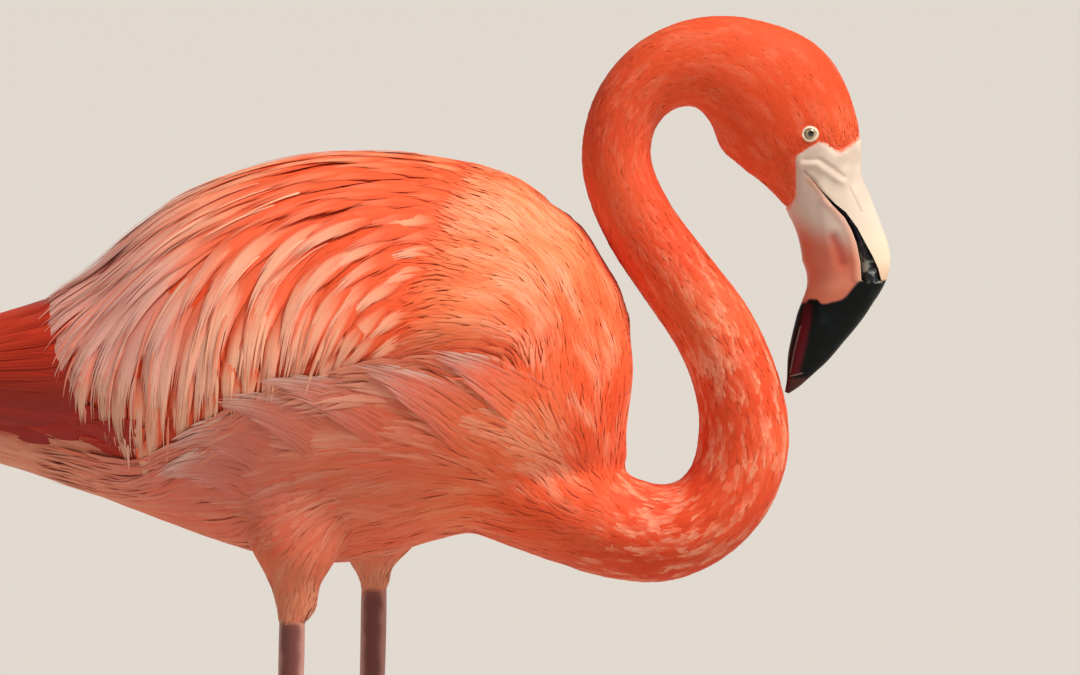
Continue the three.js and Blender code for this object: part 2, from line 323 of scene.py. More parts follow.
def smooth_shaded(data: Mesh) -> None:
    """Shades every face of a mesh smoothly."""
    data.polygons.foreach_set("use_smooth", np.ones(len(data.polygons), bool))


def link(name: str, data: Mesh, rounded: bool = True) -> Object:
    """Puts a mesh in the scene.

    Args:
        name: the object's name.
        data: the mesh.
        rounded: whether its faces are shaded smoothly.
    Returns:
        The object, at the origin.
    """
    obj = bpy.data.objects.new(name, data)
    bpy.context.scene.collection.objects.link(obj)
    if rounded:
        smooth_shaded(data)
    return obj


def baked(obj: Object) -> Object:
    """Turns an object's modifiers into its plain mesh."""
    graph = bpy.context.evaluated_depsgraph_get()
    data = bpy.data.meshes.new_from_object(obj.evaluated_get(graph))
    obj.modifiers.clear()
    old = obj.data
    obj.data = data
    bpy.data.meshes.remove(old)
    data.name = obj.name
    return obj


class Join(Enum):
    """What becomes of two closed objects."""

    UNION = "UNION"
    CUT = "DIFFERENCE"


def united(a: Object, b: Object, how: Join = Join.UNION) -> Object:
    """Joins two closed objects, or cuts one from the other.

    Args:
        a: the object that is kept.
        b: the object that is dropped.
        how: whether b is added to a or cut from it.
    Returns:
        The first object.
    """
    cut = a.modifiers.new("join", "BOOLEAN")
    cut.operation, cut.object, cut.solver = how.value, b, "MANIFOLD"
    baked(a)
    bpy.data.objects.remove(b)
    return a


def read(items: bpy_prop_collection, key: str, width: int = 3) -> Array:
    """One property of every point or face, `width` numbers each."""
    out = np.empty(len(items) * width, np.float32)
    items.foreach_get(key, out)
    return out.reshape(-1, width).astype(float)


def points_of(data: Mesh) -> Array:
    """The mesh's points as an array."""
    return read(data.vertices, "co")


def paint(data: Mesh, colours: Array) -> None:
    """Writes linear colours on the mesh's points, as the attribute Tint."""
    layer = data.color_attributes.new("Tint", "FLOAT_COLOR", "POINT")
    full = np.ones((len(data.vertices), 4), np.float32)
    full[:, :3] = colours
    layer.data.foreach_set("color", full.ravel())


# ---------------------------------------------------------------- the bird's measures

SPINE = Run([
    (52, 624, 46, 38, 46), (82, 609, 42, 35.5, 45), (110, 594, 34, 31, 37), (132, 584.5, 28, 27, 29),
    (153, 582, 24.5, 25, 24), (173, 589, 22.5, 22.5, 21.5), (187, 605, 22.5, 22.5, 20.5),
    (193, 627, 23, 23, 20), (190, 653, 21.5, 21.8, 20), (178.5, 680, 20, 21.5, 19.5),
    (161, 706, 19.5, 20, 19), (142, 734, 19, 18.5, 18), (131, 762, 18, 17.5, 17),
    (134, 787, 17.5, 17.5, 16.5), (148, 805, 19, 19, 16.5), (168, 812.5, 22.5, 22, 17.5),
    (188, 808.5, 28.5, 28, 19), (207, 795, 35, 36, 19.5), (222, 774, 30, 31.5, 17.5),
    (231.5, 752, 20.5, 22, 14), (236.6, 740.5, 19.5, 20.5, 13), (240, 728, 21, 20, 12.5),
    (242, 714, 22.5, 20, 12), (238.5, 699, 17.5, 15.5, 11), (230, 683, 14, 12.5, 9.5),
    (222, 669, 10.8, 7.6, 7), (217, 657.3, 5.2, 3.0, 3.8), (214, 650.8, 1.0, 0.8, 1.0),
])
TRUNK = Run([
    (-190, 632, 8, 12, 12), (-171, 634, 20, 22, 28), (-122, 648, 52, 57, 52), (-73, 658, 83, 85, 66),
    (-24, 664, 97, 100, 72), (25, 668, 97, 98, 72), (73, 664, 90, 83, 66), (108, 661.5, 76, 69, 52),
    (129, 661, 49, 58, 35), (138, 661, 30, 46, 21),
])
REAR = Run([
    (-96, 664, 66, 60, 60), (-122, 660, 48, 50, 55), (-150, 658, 35, 38, 47), (-180, 658, 28, 28, 38),
    (-212, 658, 21, 19, 29), (-243, 657, 12, 10, 18), (-264, 655, 3, 3, 6),
])
EYE = np.array([224.8, 12.9, 779.2])  # the left eye's centre
# Each leg's x and y, how far its thigh reaches forwards, and the height where its feathers end.
LEGS = {"right": (-28.0, -37.0, 17.0, 542.0), "left": (11.0, 37.0, 12.0, 550.0)}


# ---------------------------------------------------------------- fields over the body


# How the trunk's coat lies: x and z in the side view, and degrees below straight back.
GUIDES = [
    (132, 640, -88), (122, 696, -76), (103, 731, -50), (83, 750, -27), (55, 763, -12), (0, 772, 4),
    (103, 647, -62), (93, 608, -38), (122, 585, -30), (83, 579, -12), (64, 628, -32), (39, 650, -22),
    (49, 574, -2), (0, 655, -8), (-39, 648, 10), (-73, 633, 30), (-82, 606, 34), (-44, 606, 16),
    (0, 618, -3), (-24, 582, 32), (24, 586, 6), (-122, 608, -14), (-160, 625, -12), (-150, 665, 6),
]
GUIDE_REACH = 30.0  # how far one guide is felt
CHUNK = 4000  # points compared with the spine at a time, which keeps memory small


@dataclass
class BodyMap:
    """Where a point is on the bird, and how the coat lies there.

    `end` is the last place on the spine that belongs to the feathered head.
    """

    samples: int = 700
    end: float = 19.4

    def __post_init__(self) -> None:
        """Samples the spine."""
        self.t = np.linspace(0, self.end, self.samples)
        self.centre, self.tangent, _, reach = SPINE.frame(self.t)
        self.radius = reach.mean(1)

    def on_spine(self, p: Array) -> tuple[Array, Array]:
        """Finds the nearest place on the spine.

        Args:
            p: points, in metres.
        Returns:
            The places, and how far the points are from them in units of the neck's radius.
        """
        place, gap = np.empty(len(p)), np.empty(len(p))
        for i in range(0, len(p), CHUNK):
            part = p[i : i + CHUNK]
            far = np.linalg.norm(part[:, None] - self.centre[None], axis=2) / self.radius[None]
            best = far.argmin(1)
            place[i : i + CHUNK] = self.t[best]
            gap[i : i + CHUNK] = far[np.arange(len(part)), best]
        return place, gap

    def index(self, t: Array) -> Array:
        """The numbers of the samples at places t on the spine."""
        return np.clip((t / self.end * (self.samples - 1)).astype(int), 0, self.samples - 1)

    def neck_share(self, p: Array) -> tuple[Array, Array]:
        """Tells the neck from the trunk.

        Args:
            p: points, in metres.
        Returns:
            From 0 on the trunk to 1 on neck and head, and the place on the spine.
        """
        t, gap = self.on_spine(p)
        share = smooth(0.8, 4.2, t) * (1 - smooth(1.25, 1.9, gap))
        return share, t

    def lie(self, p: Array, n: Array) -> Array:
        """The direction in which the coat lies, from root to tip, along the skin.

        Args:
            p, n: points and the skin's normals there.
        Returns:
            Unit vectors.
        """
        share, t = self.neck_share(p)
        along_neck = -self.tangent[self.index(t)]
        trunk = np.array([-0.05, 0.0, 0.0]) * np.ones((len(p), 1))
        px, pz = side_view(p)
        for x, z, angle in GUIDES:
            near = np.exp(-((px - x) ** 2 + (pz - z) ** 2) / GUIDE_REACH**2)
            a = math.radians(angle)
            trunk += near[:, None] * np.array([-math.cos(a), 0.0, -math.sin(a)])
        trunk = unit(trunk)
        # The feathers of the thighs hang down.
        for x, y, _, _ in LEGS.values():
            close = 1 - smooth(18, 46, np.hypot(px - x, (p[:, 1] / MM - y) * 1.3))
            trunk = mix(trunk, (-0.22, 0.0, -1.0), close * (1 - smooth(556, 606, pz)))
        return square_to(mix(trunk, along_neck, share), n)

    def unwrap(self, p: Array) -> Array:
        """A flat map of the skin: along the neck or trunk, and round it.

        Args:
            p: points, in metres.
        Returns:
            (n, 2) places from 0 to 1, the trunk on the left part of the map and the neck on the right.
        """
        share, t = self.neck_share(p)
        index = self.index(t)
        d, tangent = p - self.centre[index], self.tangent[index]
        dorsal = np.stack([-tangent[:, 2], np.zeros(len(p)), tangent[:, 0]], -1)
        neck_turn = np.arctan2(d[:, 1], (d * dorsal).sum(1)) / (2 * np.pi) + 0.5
        trunk_turn = np.arctan2(p[:, 1], p[:, 2] - 0.66) / (2 * np.pi) + 0.5
        on_neck = share > 0.5
        u = np.where(on_neck, 0.47 + 0.52 * t / self.end, 0.01 + 0.44 * (p[:, 0] + 0.27) / 0.42)
        v = np.where(on_neck, neck_turn, trunk_turn)
        return np.stack([np.clip(u, 0.003, 0.997), 0.01 + 0.98 * v], -1)


def swatch(code: str) -> Array:
    """A dataclass field that holds a hex colour as linear light."""
    return field(default_factory=lambda: linear(code))


@dataclass(frozen=True)
class Palette:
    """The plumage's colours, in linear light."""

    coral: Array = swatch("#f05c34")
    flame: Array = swatch("#ee4a1a")
    deep: Array = swatch("#cf3214")
    apricot: Array = swatch("#fb9662")
    peach: Array = swatch("#fbb491")
    shell: Array = swatch("#f0c2aa")
    frost: Array = swatch("#fbdccd")
    mauve: Array = swatch("#c79797")
    dusk: Array = swatch("#c97059")
    buff: Array = swatch("#d29070")
    scarlet: Array = swatch("#cf3416")
    # A shaded copy of scarlet: painted shade for the lower wing and for the rear under the plumes.
    scarlet_in_shade: Array = swatch("#a5130a")
    black: Array = swatch("#16110f")

    def body(self, p: Array, t: Array, share: Array) -> Array:
        """The mean colour of the coat.

        Args:
            p: points of the skin, in metres.
            t, share: their places on the spine, and how much they belong to the neck.
        Returns:
            (n, 3) linear colours.
        """
        x, z = side_view(p)
        trunk = 1 - share
        flank = smooth(98, 20, x) * smooth(578, 612, z) * (1 - smooth(684, 700, z)) * trunk
        low = (1 - smooth(575, 625, z)) * (1 - smooth(-10, 100, x)) * trunk
        rear = 1 - smooth(-125, -75, x)
        wing = smooth(-70, -100, x) * smooth(628, 640, z) * trunk
        colour = layered(
            self.coral,
            (self.apricot, 0.30 * smooth(0.35, 0.8, noise(p, 30, 3))),
            # The breast and the back are the most golden, the neck and head the reddest.
            (self.apricot, 0.55 * smooth(632, 725, z) * smooth(0, 60, x) * trunk),
            # Partly the plumage's own dull tone and partly painted shade: the flank and belly are painted
            # dusk, with mauve towards the rear flank.
            (self.dusk, 0.60 * flank),
            (self.mauve, 0.18 * flank * smooth(30, -50, x)),
            (self.dusk, 0.60 * low),
            (mix(self.buff, self.deep, 0.25), 0.85 * rear * (1 - smooth(622, 640, z))),
            # Painted shade and light: the wing's scarlet is painted in its shaded copy low down, and turns
            # coral at its top where the light falls.
            (self.scarlet, 0.9 * wing),
            (self.scarlet_in_shade, 0.85 * wing * (1 - smooth(652, 690, z))),
            (self.coral, 0.7 * wing * smooth(682, 700, z)),
        )
        for lx, ly, _, _ in LEGS.values():
            thigh = (1 - smooth(10, 40, np.hypot(x - lx, p[:, 1] / MM - ly))) * (1 - smooth(552, 590, z))
            colour = mix(colour, self.buff, 0.75 * thigh)
        return layered(
            colour,
            (self.deep, 0.30 * share),
            (self.flame, 0.30 * share * smooth(12.5, 17, t)),
            # Painted shade: the bottom of the neck's loop, low in front of the breast, is painted deep red.
            (self.deep, 0.6 * (1 - smooth(4, 9, t)) * smooth(60, 120, x) * (1 - smooth(566, 604, z))),
            (self.deep, 0.22 * share * smooth(9, 12, t) * (1 - smooth(13, 15, t))),
        )


def curve(line: Line, rounds: int = 2) -> Line:
    """Cuts a line's corners, so that it runs smoothly.

    Args:
        line: points of the side view.
        rounds: how often each corner is cut.
    Returns:
        The longer list of points.
    """
    p = np.array(line)
    for _ in range(rounds):
        near, far = 0.75 * p[:-1] + 0.25 * p[1:], 0.25 * p[:-1] + 0.75 * p[1:]
        p = np.vstack([p[:1], np.stack([near, far], 1).reshape(-1, 2), p[-1:]])
    return [(float(x), float(z)) for x, z in p]


# The edge of the bare face in the side view, from the culmen down to the throat.
FACE_EDGE = curve([
    (262.0, 792.0), (248.6, 776.0), (243.8, 772.9), (239.6, 770.0), (234.5, 774.1), (229.3, 776.8),
    (226.5, 774.0), (223.2, 772.9), (221.0, 771.4), (217.0, 768.5), (217.6, 760.0), (217.6, 750.0),
    (215.7, 742.9), (208.0, 736.0),
])
FACE_AREA = FACE_EDGE + [(208.0, 700.0), (300.0, 700.0), (300.0, 792.0)]


def on_face(p: Array) -> Array:
    """How far a point is past the feathers' edge into the bare face, in millimetres; below 0 is coat."""
    x, z = side_view(p)
    gap = polyline_gap(x, z, FACE_EDGE)
    return np.where(inside(x, z, FACE_AREA), gap, -gap)


# ---------------------------------------------------------------- materials


def add_node(tree: NodeTree, kind: str, links: dict | None = None, **settings: object) -> Node:
    """Adds a node with its settings and links.

    Args:
        tree: the tree it goes into.
        kind: the node's type.
        links: socket name or number to a plain value or another node's output.
        settings: the node's own properties.
    Returns:
        The node.
    """
    node = tree.nodes.new(kind)
    for key, value in settings.items():
        setattr(node, key, value)
    for key, value in (links or {}).items():
        if isinstance(value, NodeSocket):
            tree.links.new(value, node.inputs[key])
        else:
            node.inputs[key].default_value = value
    return node


@dataclass
class Graph:
    """The node tree of a material or of the world, built a node at a time."""

    owner: Material | World

    def __post_init__(self) -> None:
        """Starts with an empty tree."""
        self.owner.use_nodes = True
        self.owner.node_tree.nodes.clear()

    @staticmethod
    def new(name: str) -> "Graph":
        """Starts a material with an empty tree."""
        return Graph(bpy.data.materials.new(name))

    def add(self, kind: str, links: dict | None = None, **settings: object) -> Node:
        """Adds a shader node, named without its prefix."""
        return add_node(self.owner.node_tree, "ShaderNode" + kind, links, **settings)

    def pattern(self, size: float, detail: float) -> NodeSocket:
        """Adds noise on the object's own coordinates.

        Args:
            size: the width of its patches, in millimetres.
            detail: how much finer noise is added to it.
        Returns:
            The output from 0 to 1.
        """
        place = self.add("TexCoord").outputs["Object"]
        links = {"Vector": place, "Scale": 1 / (size * MM), "Detail": detail}
        return self.add("TexNoise", links).outputs["Fac"]

    def close(self, shader: dict) -> Material:
        """Ends the material with a Principled shader of these inputs, and returns it."""
        self.add("OutputMaterial", {"Surface": self.add("BsdfPrincipled", shader).outputs[0]})
        return self.owner


def rgba(code: str) -> tuple[float, float, float, float]:
    """A hex colour as a linear colour with alpha."""
    return (*linear(code), 1.0)


@dataclass(frozen=True)
class Tinted:
    """A finish whose colour is painted on the mesh; `grain_size` is in millimetres."""

    name: str
    roughness: float = 0.6
    sheen: float = 0.0
    coat: float = 0.0
    specular: float = 0.5
    grain: float = 0.0
    grain_size: float = 2.5
    soft: float = 0.0

    def build(self) -> Material:
        """The material."""
        g = Graph.new(self.name)
        tint = g.add("VertexColor", layer_name="Tint")
        links = {
            "Base Color": tint.outputs["Color"],
            "Roughness": self.roughness,
            "Sheen Weight": self.sheen,
            "Sheen Roughness": 0.45,
            "Sheen Tint": rgba("#ffd9c4"),
            "Coat Weight": self.coat,
            "Coat Roughness": 0.12,
            "Specular IOR Level": self.specular,
            "Subsurface Weight": self.soft,
            "Subsurface Radius": (0.004, 0.0015, 0.0008),
            "Subsurface Scale": 1.0,
        }
        if self.grain:
            grain = {"Height": g.pattern(self.grain_size, 3.0), "Strength": self.grain, "Distance": 0.6 * MM}
            links["Normal"] = g.add("Bump", grain).outputs["Normal"]
        return g.close(links)


@dataclass(frozen=True)
class Mottled:
    """A finish of two tones in soft patches; sizes are in millimetres."""

    name: str
    dark: str
    pale: str
    patch: float
    detail: float
    roughness: float
    grain: float = 0.0
    grain_size: float = 0.77

    def build(self) -> Material:
        """The material."""
        g = Graph.new(self.name)
        tones = {"Factor": g.pattern(self.patch, self.detail), "A": rgba(self.dark), "B": rgba(self.pale)}
        links = {
            "Base Color": g.add("Mix", tones, data_type="RGBA").outputs["Result"],
            "Roughness": self.roughness,
        }
        if self.grain:
            grain = {"Height": g.pattern(self.grain_size, 2.0), "Strength": self.grain, "Distance": 0.4 * MM}
            links["Normal"] = g.add("Bump", grain).outputs["Normal"]
        return g.close(links)


@dataclass(frozen=True)
class WetMouth:
    """Grey plates and dark gaps low in the mouth, and dark blue above `plates_end` metres: the blue is a
    painted reflection, and the plates' grey is partly a painted reflection.
    """

    plates_end: tuple[float, float] = (0.716, 0.726)
    patch: float = 4.76

    def build(self) -> Material:
        """The material."""
        g = Graph.new("wet_mouth")
        height = g.add("SeparateXYZ", {"Vector": g.add("TexCoord").outputs["Object"]}).outputs["Z"]
        low, high = self.plates_end
        fade = g.add("MapRange", {"Value": height, "From Min": low, "From Max": high})
        hard = g.add("MapRange", {"Value": g.pattern(self.patch, 2.0), "From Min": 0.44, "From Max": 0.56})
        grey = {"Factor": hard.outputs["Result"], "A": rgba("#1b1e26"), "B": rgba("#a4a8a6")}
        plates = g.add("Mix", grey, data_type="RGBA")
        # Painted reflection: the dark blue above the plates.
        both = {"Factor": fade.outputs["Result"], "A": plates.outputs["Result"], "B": rgba("#101230")}
        tone = g.add("Mix", both, data_type="RGBA")
        return g.close({"Base Color": tone.outputs["Result"], "Roughness": 0.26})


# Bare skin with fine wrinkles, which break up the light.
BARE_SKIN = Tinted("skin", roughness=0.5, specular=0.45, grain=0.35, grain_size=1.43)
# Loose barbs: matt, with a soft paler sheen where they turn away from the light.
BARBS = Tinted("feather_barbs", roughness=0.62, sheen=0.10, specular=0.15)
# Closed vanes of quill feathers: sleeker, with a broad silky gloss.
VANE = Tinted("feather_vane", roughness=0.48, sheen=0.05, specular=0.30)
# Pale horn under thin skin: nearly smooth, with a faint clear gloss over it.
PALE_HORN = Tinted("pale_horn", roughness=0.42, coat=0.10, specular=0.35, grain=0.12, grain_size=1.11)
# Black horn, worn smooth: a tighter but weak highlight.
BLACK_HORN = Tinted("black_horn", roughness=0.30, specular=0.12, grain=0.05, grain_size=1.43)
# The wet cornea: a sharp white glint over iris and pupil.
CORNEA = Tinted("cornea", roughness=0.08, coat=1.0, specular=0.6)
# The lid's bare skin: half matt and finely beaded.
LID = Tinted("lid", roughness=0.45, specular=0.5, grain=0.2, grain_size=0.67)
# Horny scales of legs and toes: satin, brownish red in soft patches.
LEG_SCALES = Mottled("leg_scales", "#7a3a2f", "#a86a5d", patch=14.3, detail=2.0, roughness=0.42, grain=0.25)
# Claw horn: dark and streaky, smooth enough to shine.
CLAW_HORN = Mottled("claw_horn", "#20130f", "#5d3d33", patch=3.85, detail=3.0, roughness=0.35)


# ---------------------------------------------------------------- the skin

FLOOR_GAP = 0.05 * MM  # how far soles stay above the floor


@dataclass
class Leg:
    """The bare leg and webbed foot of one side, as closed shapes in place."""

    side: str
    x: float
    y: float
    feathers_end: float
    web_lift: float = 0.9
    spread: float = math.radians(27)  # the turn between two front toes

    def rows(self) -> list[tuple[float, float, float, float, float]]:
        """The bare leg's sections, from inside the thigh down to the joint of the toes."""
        return [
            (0, self.feathers_end + 16, 5.2, 5.2, 5.0),
            (0, self.feathers_end - 4, 6.3, 6.3, 5.9),
            (-1, 500, 6.2, 6.2, 5.7),
            (-4, 420, 5.6, 5.6, 5.1),
            (-6.5, 372, 5.9, 5.9, 5.4),
            (-7.5, 352, 8.2, 7.4, 6.8),
            (-8, 340, 9.0, 8.4, 7.7),
            (-8, 328, 8.6, 8.4, 7.5),
            (-7, 312, 6.0, 6.2, 5.4),
            (-6, 270, 5.2, 5.2, 4.6),
            (-5, 240, 4.9, 4.9, 4.4),
            (-2, 110, 4.7, 4.7, 4.3),
            (-0.5, 50, 5.0, 5.0, 4.6),
            (0, 26, 5.9, 5.9, 5.6),
            (1, 12, 6.9, 6.4, 6.6),
            (2, 1.2, 6.0, 5.2, 5.8),
        ]

    def limb(self) -> Shape:
        """The bare leg."""
        run = Run(self.rows())
        return run.loft(0, run.last, 150, 24).moved(self.x, self.y)

    def toe_profile(self, s: Array, root: float, tip: float) -> tuple[Array, Array]:
        """The form of a toe, in millimetres.

        Args:
            s: shares of its length.
            root, tip: its radius at both ends.
        Returns:
            Its radius, and the height of its middle above the floor.
        """
        radius = root + (tip - root) * s
        for knuckle in (0.34, 0.62, 0.84):
            radius = radius + 0.65 * np.exp(-(((s - knuckle) / 0.045) ** 2))
        return radius, 8.0 * (1 - s) ** 4 + radius * 0.86

    def front_toes(self) -> list[tuple[float, float, float, float]]:
        """Length, turn, and radius at root and tip of the three front toes."""
        return [(84, 0.0, 4.6, 3.1), (72, self.spread, 4.2, 2.9), (72, -self.spread, 4.2, 2.9)]

    def toe(self, length: float, turn: float, root: float, tip: float) -> Shape:
        """A toe with swollen joints, lying on the floor.

        Args:
            length: in millimetres.
            turn: from straight ahead, in radians.
            root, tip: its radius at both ends, in millimetres.
        Returns:
            The toe in place.
        """
        s = np.linspace(0, 1, 44)
        radius, height = self.toe_profile(s, root, tip)
        radius = radius * np.where(s > 0.96, np.sqrt(np.clip((1.02 - s) / 0.06, 0.1, 1)), 1)
        angle = turns(16)
        ring = np.stack([np.zeros(16), np.sin(angle), np.cos(angle)], -1)
        p = ring[None] * radius[:, None, None] * MM
        p[..., 0] += (s * length * MM)[:, None]
        p[..., 2] += (height * MM)[:, None]
        p[..., 2] = np.maximum(p[..., 2], FLOOR_GAP)
        return self.placed(Shape.tube(p), turn)

    def web(self, turn_a: float, turn_b: float, reach_a: float, reach_b: float) -> Shape:
        """The skin between two toes, a thin plate with a hollowed edge and soft folds.

        Args:
            turn_a, turn_b: the toes' turns, in radians.
            reach_a, reach_b: how far the web goes along each, in millimetres.
        Returns:
            The web in place.
        """
        n, m = 30, 18  # points outwards and across
        a, b = np.meshgrid(np.linspace(0.02, 1, n), np.linspace(0, 1, m), indexing="ij")
        turn = turn_a + (turn_b - turn_a) * b
        edge = reach_a + (reach_b - reach_a) * b
        edge = edge * (1 - 0.22 * np.sin(np.pi * b)) * 0.95
        x, y = np.cos(turn) * edge * a, np.sin(turn) * edge * a
        fold = 0.28 * np.sin(a * 34) * np.sin(np.pi * b)
        middle = self.web_lift + 1.0 + 1.6 * (1 - a) ** 2 + fold
        half = 0.62 * np.sqrt(np.clip(1.06 - a, 0.05, 1))
        top = np.stack([x, y, middle + half], -1) * MM
        under = np.stack([x, y, middle - half], -1) * MM
        verts = np.vstack([top.reshape(-1, 3), under.reshape(-1, 3)])
        faces = []
        for i in range(n - 1):
            for j in range(m - 1):
                q = (i * m + j, (i + 1) * m + j, (i + 1) * m + j + 1, i * m + j + 1)
                faces += [q, tuple(k + n * m for k in reversed(q))]
        rim = [i * m for i in range(n)] + [(n - 1) * m + j for j in range(1, m)]
        rim += [i * m + m - 1 for i in range(n - 2, -1, -1)] + list(range(m - 2, 0, -1))
        for i, j in zip(rim, rim[1:] + rim[:1]):
            faces.append((j, i, i + n * m, j + n * m))
        return self.placed(Shape(verts, faces), 0.0)

    def heading(self) -> float:
        """The foot turns out a little."""
        return math.copysign(math.radians(6), self.y)

    def placed(self, shape: Shape, turn: float) -> Shape:
        """Turns a shape made about the foot's joint, and moves it to the leg.

        Args:
            shape: a shape that points along x.
            turn: its turn from the foot's own heading, in radians.
        Returns:
            The shape in place.
        """
        a = turn + self.heading()
        c, s = math.cos(a), math.sin(a)
        p = shape.verts
        q = np.stack([p[:, 0] * c - p[:, 1] * s, p[:, 0] * s + p[:, 1] * c, p[:, 2]], -1)
        return Shape(q, shape.faces).moved(self.x, self.y)

    def hind(self) -> Shape:
        """The small raised hind toe."""
        s = np.linspace(0, 1, 20)
        x, z = -3 - 18 * s, 12 - 9.2 * s
        radius = 2.7 - 0.8 * s
        angle = turns(12)
        p = np.zeros((20, 12, 3))
        p[..., 0] = x[:, None] + radius[:, None] * np.cos(angle) * 0.45
        p[..., 1] = radius[:, None] * np.sin(angle)
        p[..., 2] = np.maximum(z[:, None] + radius[:, None] * np.cos(angle), 0.2)
        return self.placed(Shape.tube(p * MM), 0.0)

    def parts(self) -> list[Shape]:
        """Every closed shape of the bare leg and foot."""
        toes = [self.toe(*toe) for toe in self.front_toes()]
        webs = [self.web(0, self.spread, 78, 68), self.web(-self.spread, 0, 68, 78)]
        return [self.limb(), *toes, *webs, self.hind()]


@dataclass
class Skin:
    """One skin over trunk, neck, head, thighs, legs and feet."""

    body_map: BodyMap
    palette: Palette
    voxel: float = 0.0023
    neck_coat: float = 1.0
    head_coat: float = 0.8
    trunk_coat: float = 3.2
    wing_swell: float = 6.0
    surface: "Surface" = field(init=False)

    def flesh(self) -> Shape:
        """The feathered flesh, as closed shapes that overlap."""

        def neck_inset(t: Array) -> Array:
            """The depth of the coat along the neck, in millimetres."""
            cut = self.trunk_coat + (self.neck_coat - self.trunk_coat) * smooth(1, 5, t)
            return cut + (self.head_coat - self.neck_coat) * smooth(13, 16, t)

        neck = SPINE.loft(0.2, 19.15, 150, 40, neck_inset)
        trunk = TRUNK.loft(0, TRUNK.last, 60, 48, self.trunk_coat)
        rear = REAR.loft(0, 3.2, 24, 40, 7.0)
        shape = neck.joined(trunk).joined(rear)
        for x, y, front, end in LEGS.values():
            rows = [(2, 612, 30, 36, 20), (1, 580, 23, 22, 17.5), (0, 562, front - 3, 11, 10.5)]
            rows += [(0, end + 8, front * 0.72, 7.4, 7.4), (0, end + 1, 6.9, 6.7, 6.5)]
            shape = shape.joined(Run(rows).loft(0, 4, 26, 24).moved(x, y))
        return shape

    def build(self) -> Object:
        """Makes the skin's object."""
        obj = link("skin", self.flesh().mesh("skin"))
        remesh = obj.modifiers.new("skin", "REMESH")
        remesh.mode, remesh.voxel_size = "VOXEL", self.voxel
        ease = obj.modifiers.new("ease", "SMOOTH")
        ease.factor, ease.iterations = 0.5, 9
        baked(obj)
        self.swell(obj.data)
        self.surface = Surface.of(obj.data)
        for side, (x, y, _, end) in LEGS.items():
            parts = Leg(side, x, y, end).parts()
            limb = link("limb", parts[0].mesh("limb"))
            for part in parts[1:]:
                united(limb, link("part", part.mesh("part")))
            united(obj, limb)
        smooth_shaded(obj.data)
        paint(obj.data, self.colours(points_of(obj.data)))
        obj.data.materials.clear()
        obj.data.materials.append(BARE_SKIN.build())
        return obj

    def swell(self, data: Mesh) -> None:
        """Raises the folded wings, with a rounded step along their lower edge."""
        p, n = points_of(data), read(data.vertex_normals, "vector")
        deep = cape_depth(p)
        lift = self.wing_swell * smooth(-2, 24, deep) * (deep > 0)
        out = n * np.array([0.25, 1.0, 1.0])
        # The breast's front is rounded off above and drawn in below.
        x, z = side_view(p)
        pull = 2.6 * np.exp(-(((z - 690) / 16) ** 2)) + 4.0 * smooth(665, 625, z) * smooth(596, 606, z)
        pull = pull * smooth(116, 138, x) * (x < 143) * (z > 596) * (1 - self.body_map.neck_share(p)[0])
        p[:, 0] -= pull * MM
        data.vertices.foreach_set("co", (p + out * lift[:, None] * MM).astype(np.float32).ravel())
        data.update()

    def colours(self, p: Array) -> Array:
        """The coat's colours under the coat, and below it the legs' colours with painted highlights.

        Args:
            p: points of the skin, in metres.
        Returns:
            (n, 3) linear colours.
        """
        share, t = self.body_map.neck_share(p)
        px, z = side_view(p)
        # Painted highlights: the bare leg is painted pale on its front and back, where its gloss shows, and
        # dark brown, its own colour, along its sides.
        leg = linear("#b98479")
        for x, y, _, _ in LEGS.values():
            ahead = px - x - np.interp(z, (0, 240, 337, 500), (0, -5, -8, -1))
            out = p[:, 1] / MM - y
            flat = np.abs(out) / (np.hypot(ahead, out) + 0.1)
            stripe = smooth(0.50, 0.85, flat + 0.25 * (noise(p, 6, 5) - 0.5)) * (np.abs(out) < 30)
            leg = mix(leg, linear("#672b23"), (0.9 - 0.35 * (1 - smooth(300, 380, z))) * stripe)
        ankle = smooth(322, 332, z) * (1 - smooth(348, 362, z))
        leg = layered(leg, ("#6d342b", 0.6 * ankle), ("#9a5f57", 0.6 * (1 - smooth(4, 20, z))))
        below = np.zeros(len(p))
        for x, y, _, end in LEGS.values():
            out = np.abs(p[:, 1] / MM - y)
            mine = (out < 60) & (out < np.abs(p[:, 1] / MM + y)) & (np.abs(px - x) < 200)
            below = np.where(mine, 1 - smooth(end - 2, end + 2, z), below)
        return mix(self.palette.body(p, t, share), leg, below)


CLOSEST = 0.82  # the least distance between two roots, as a share of their spacing


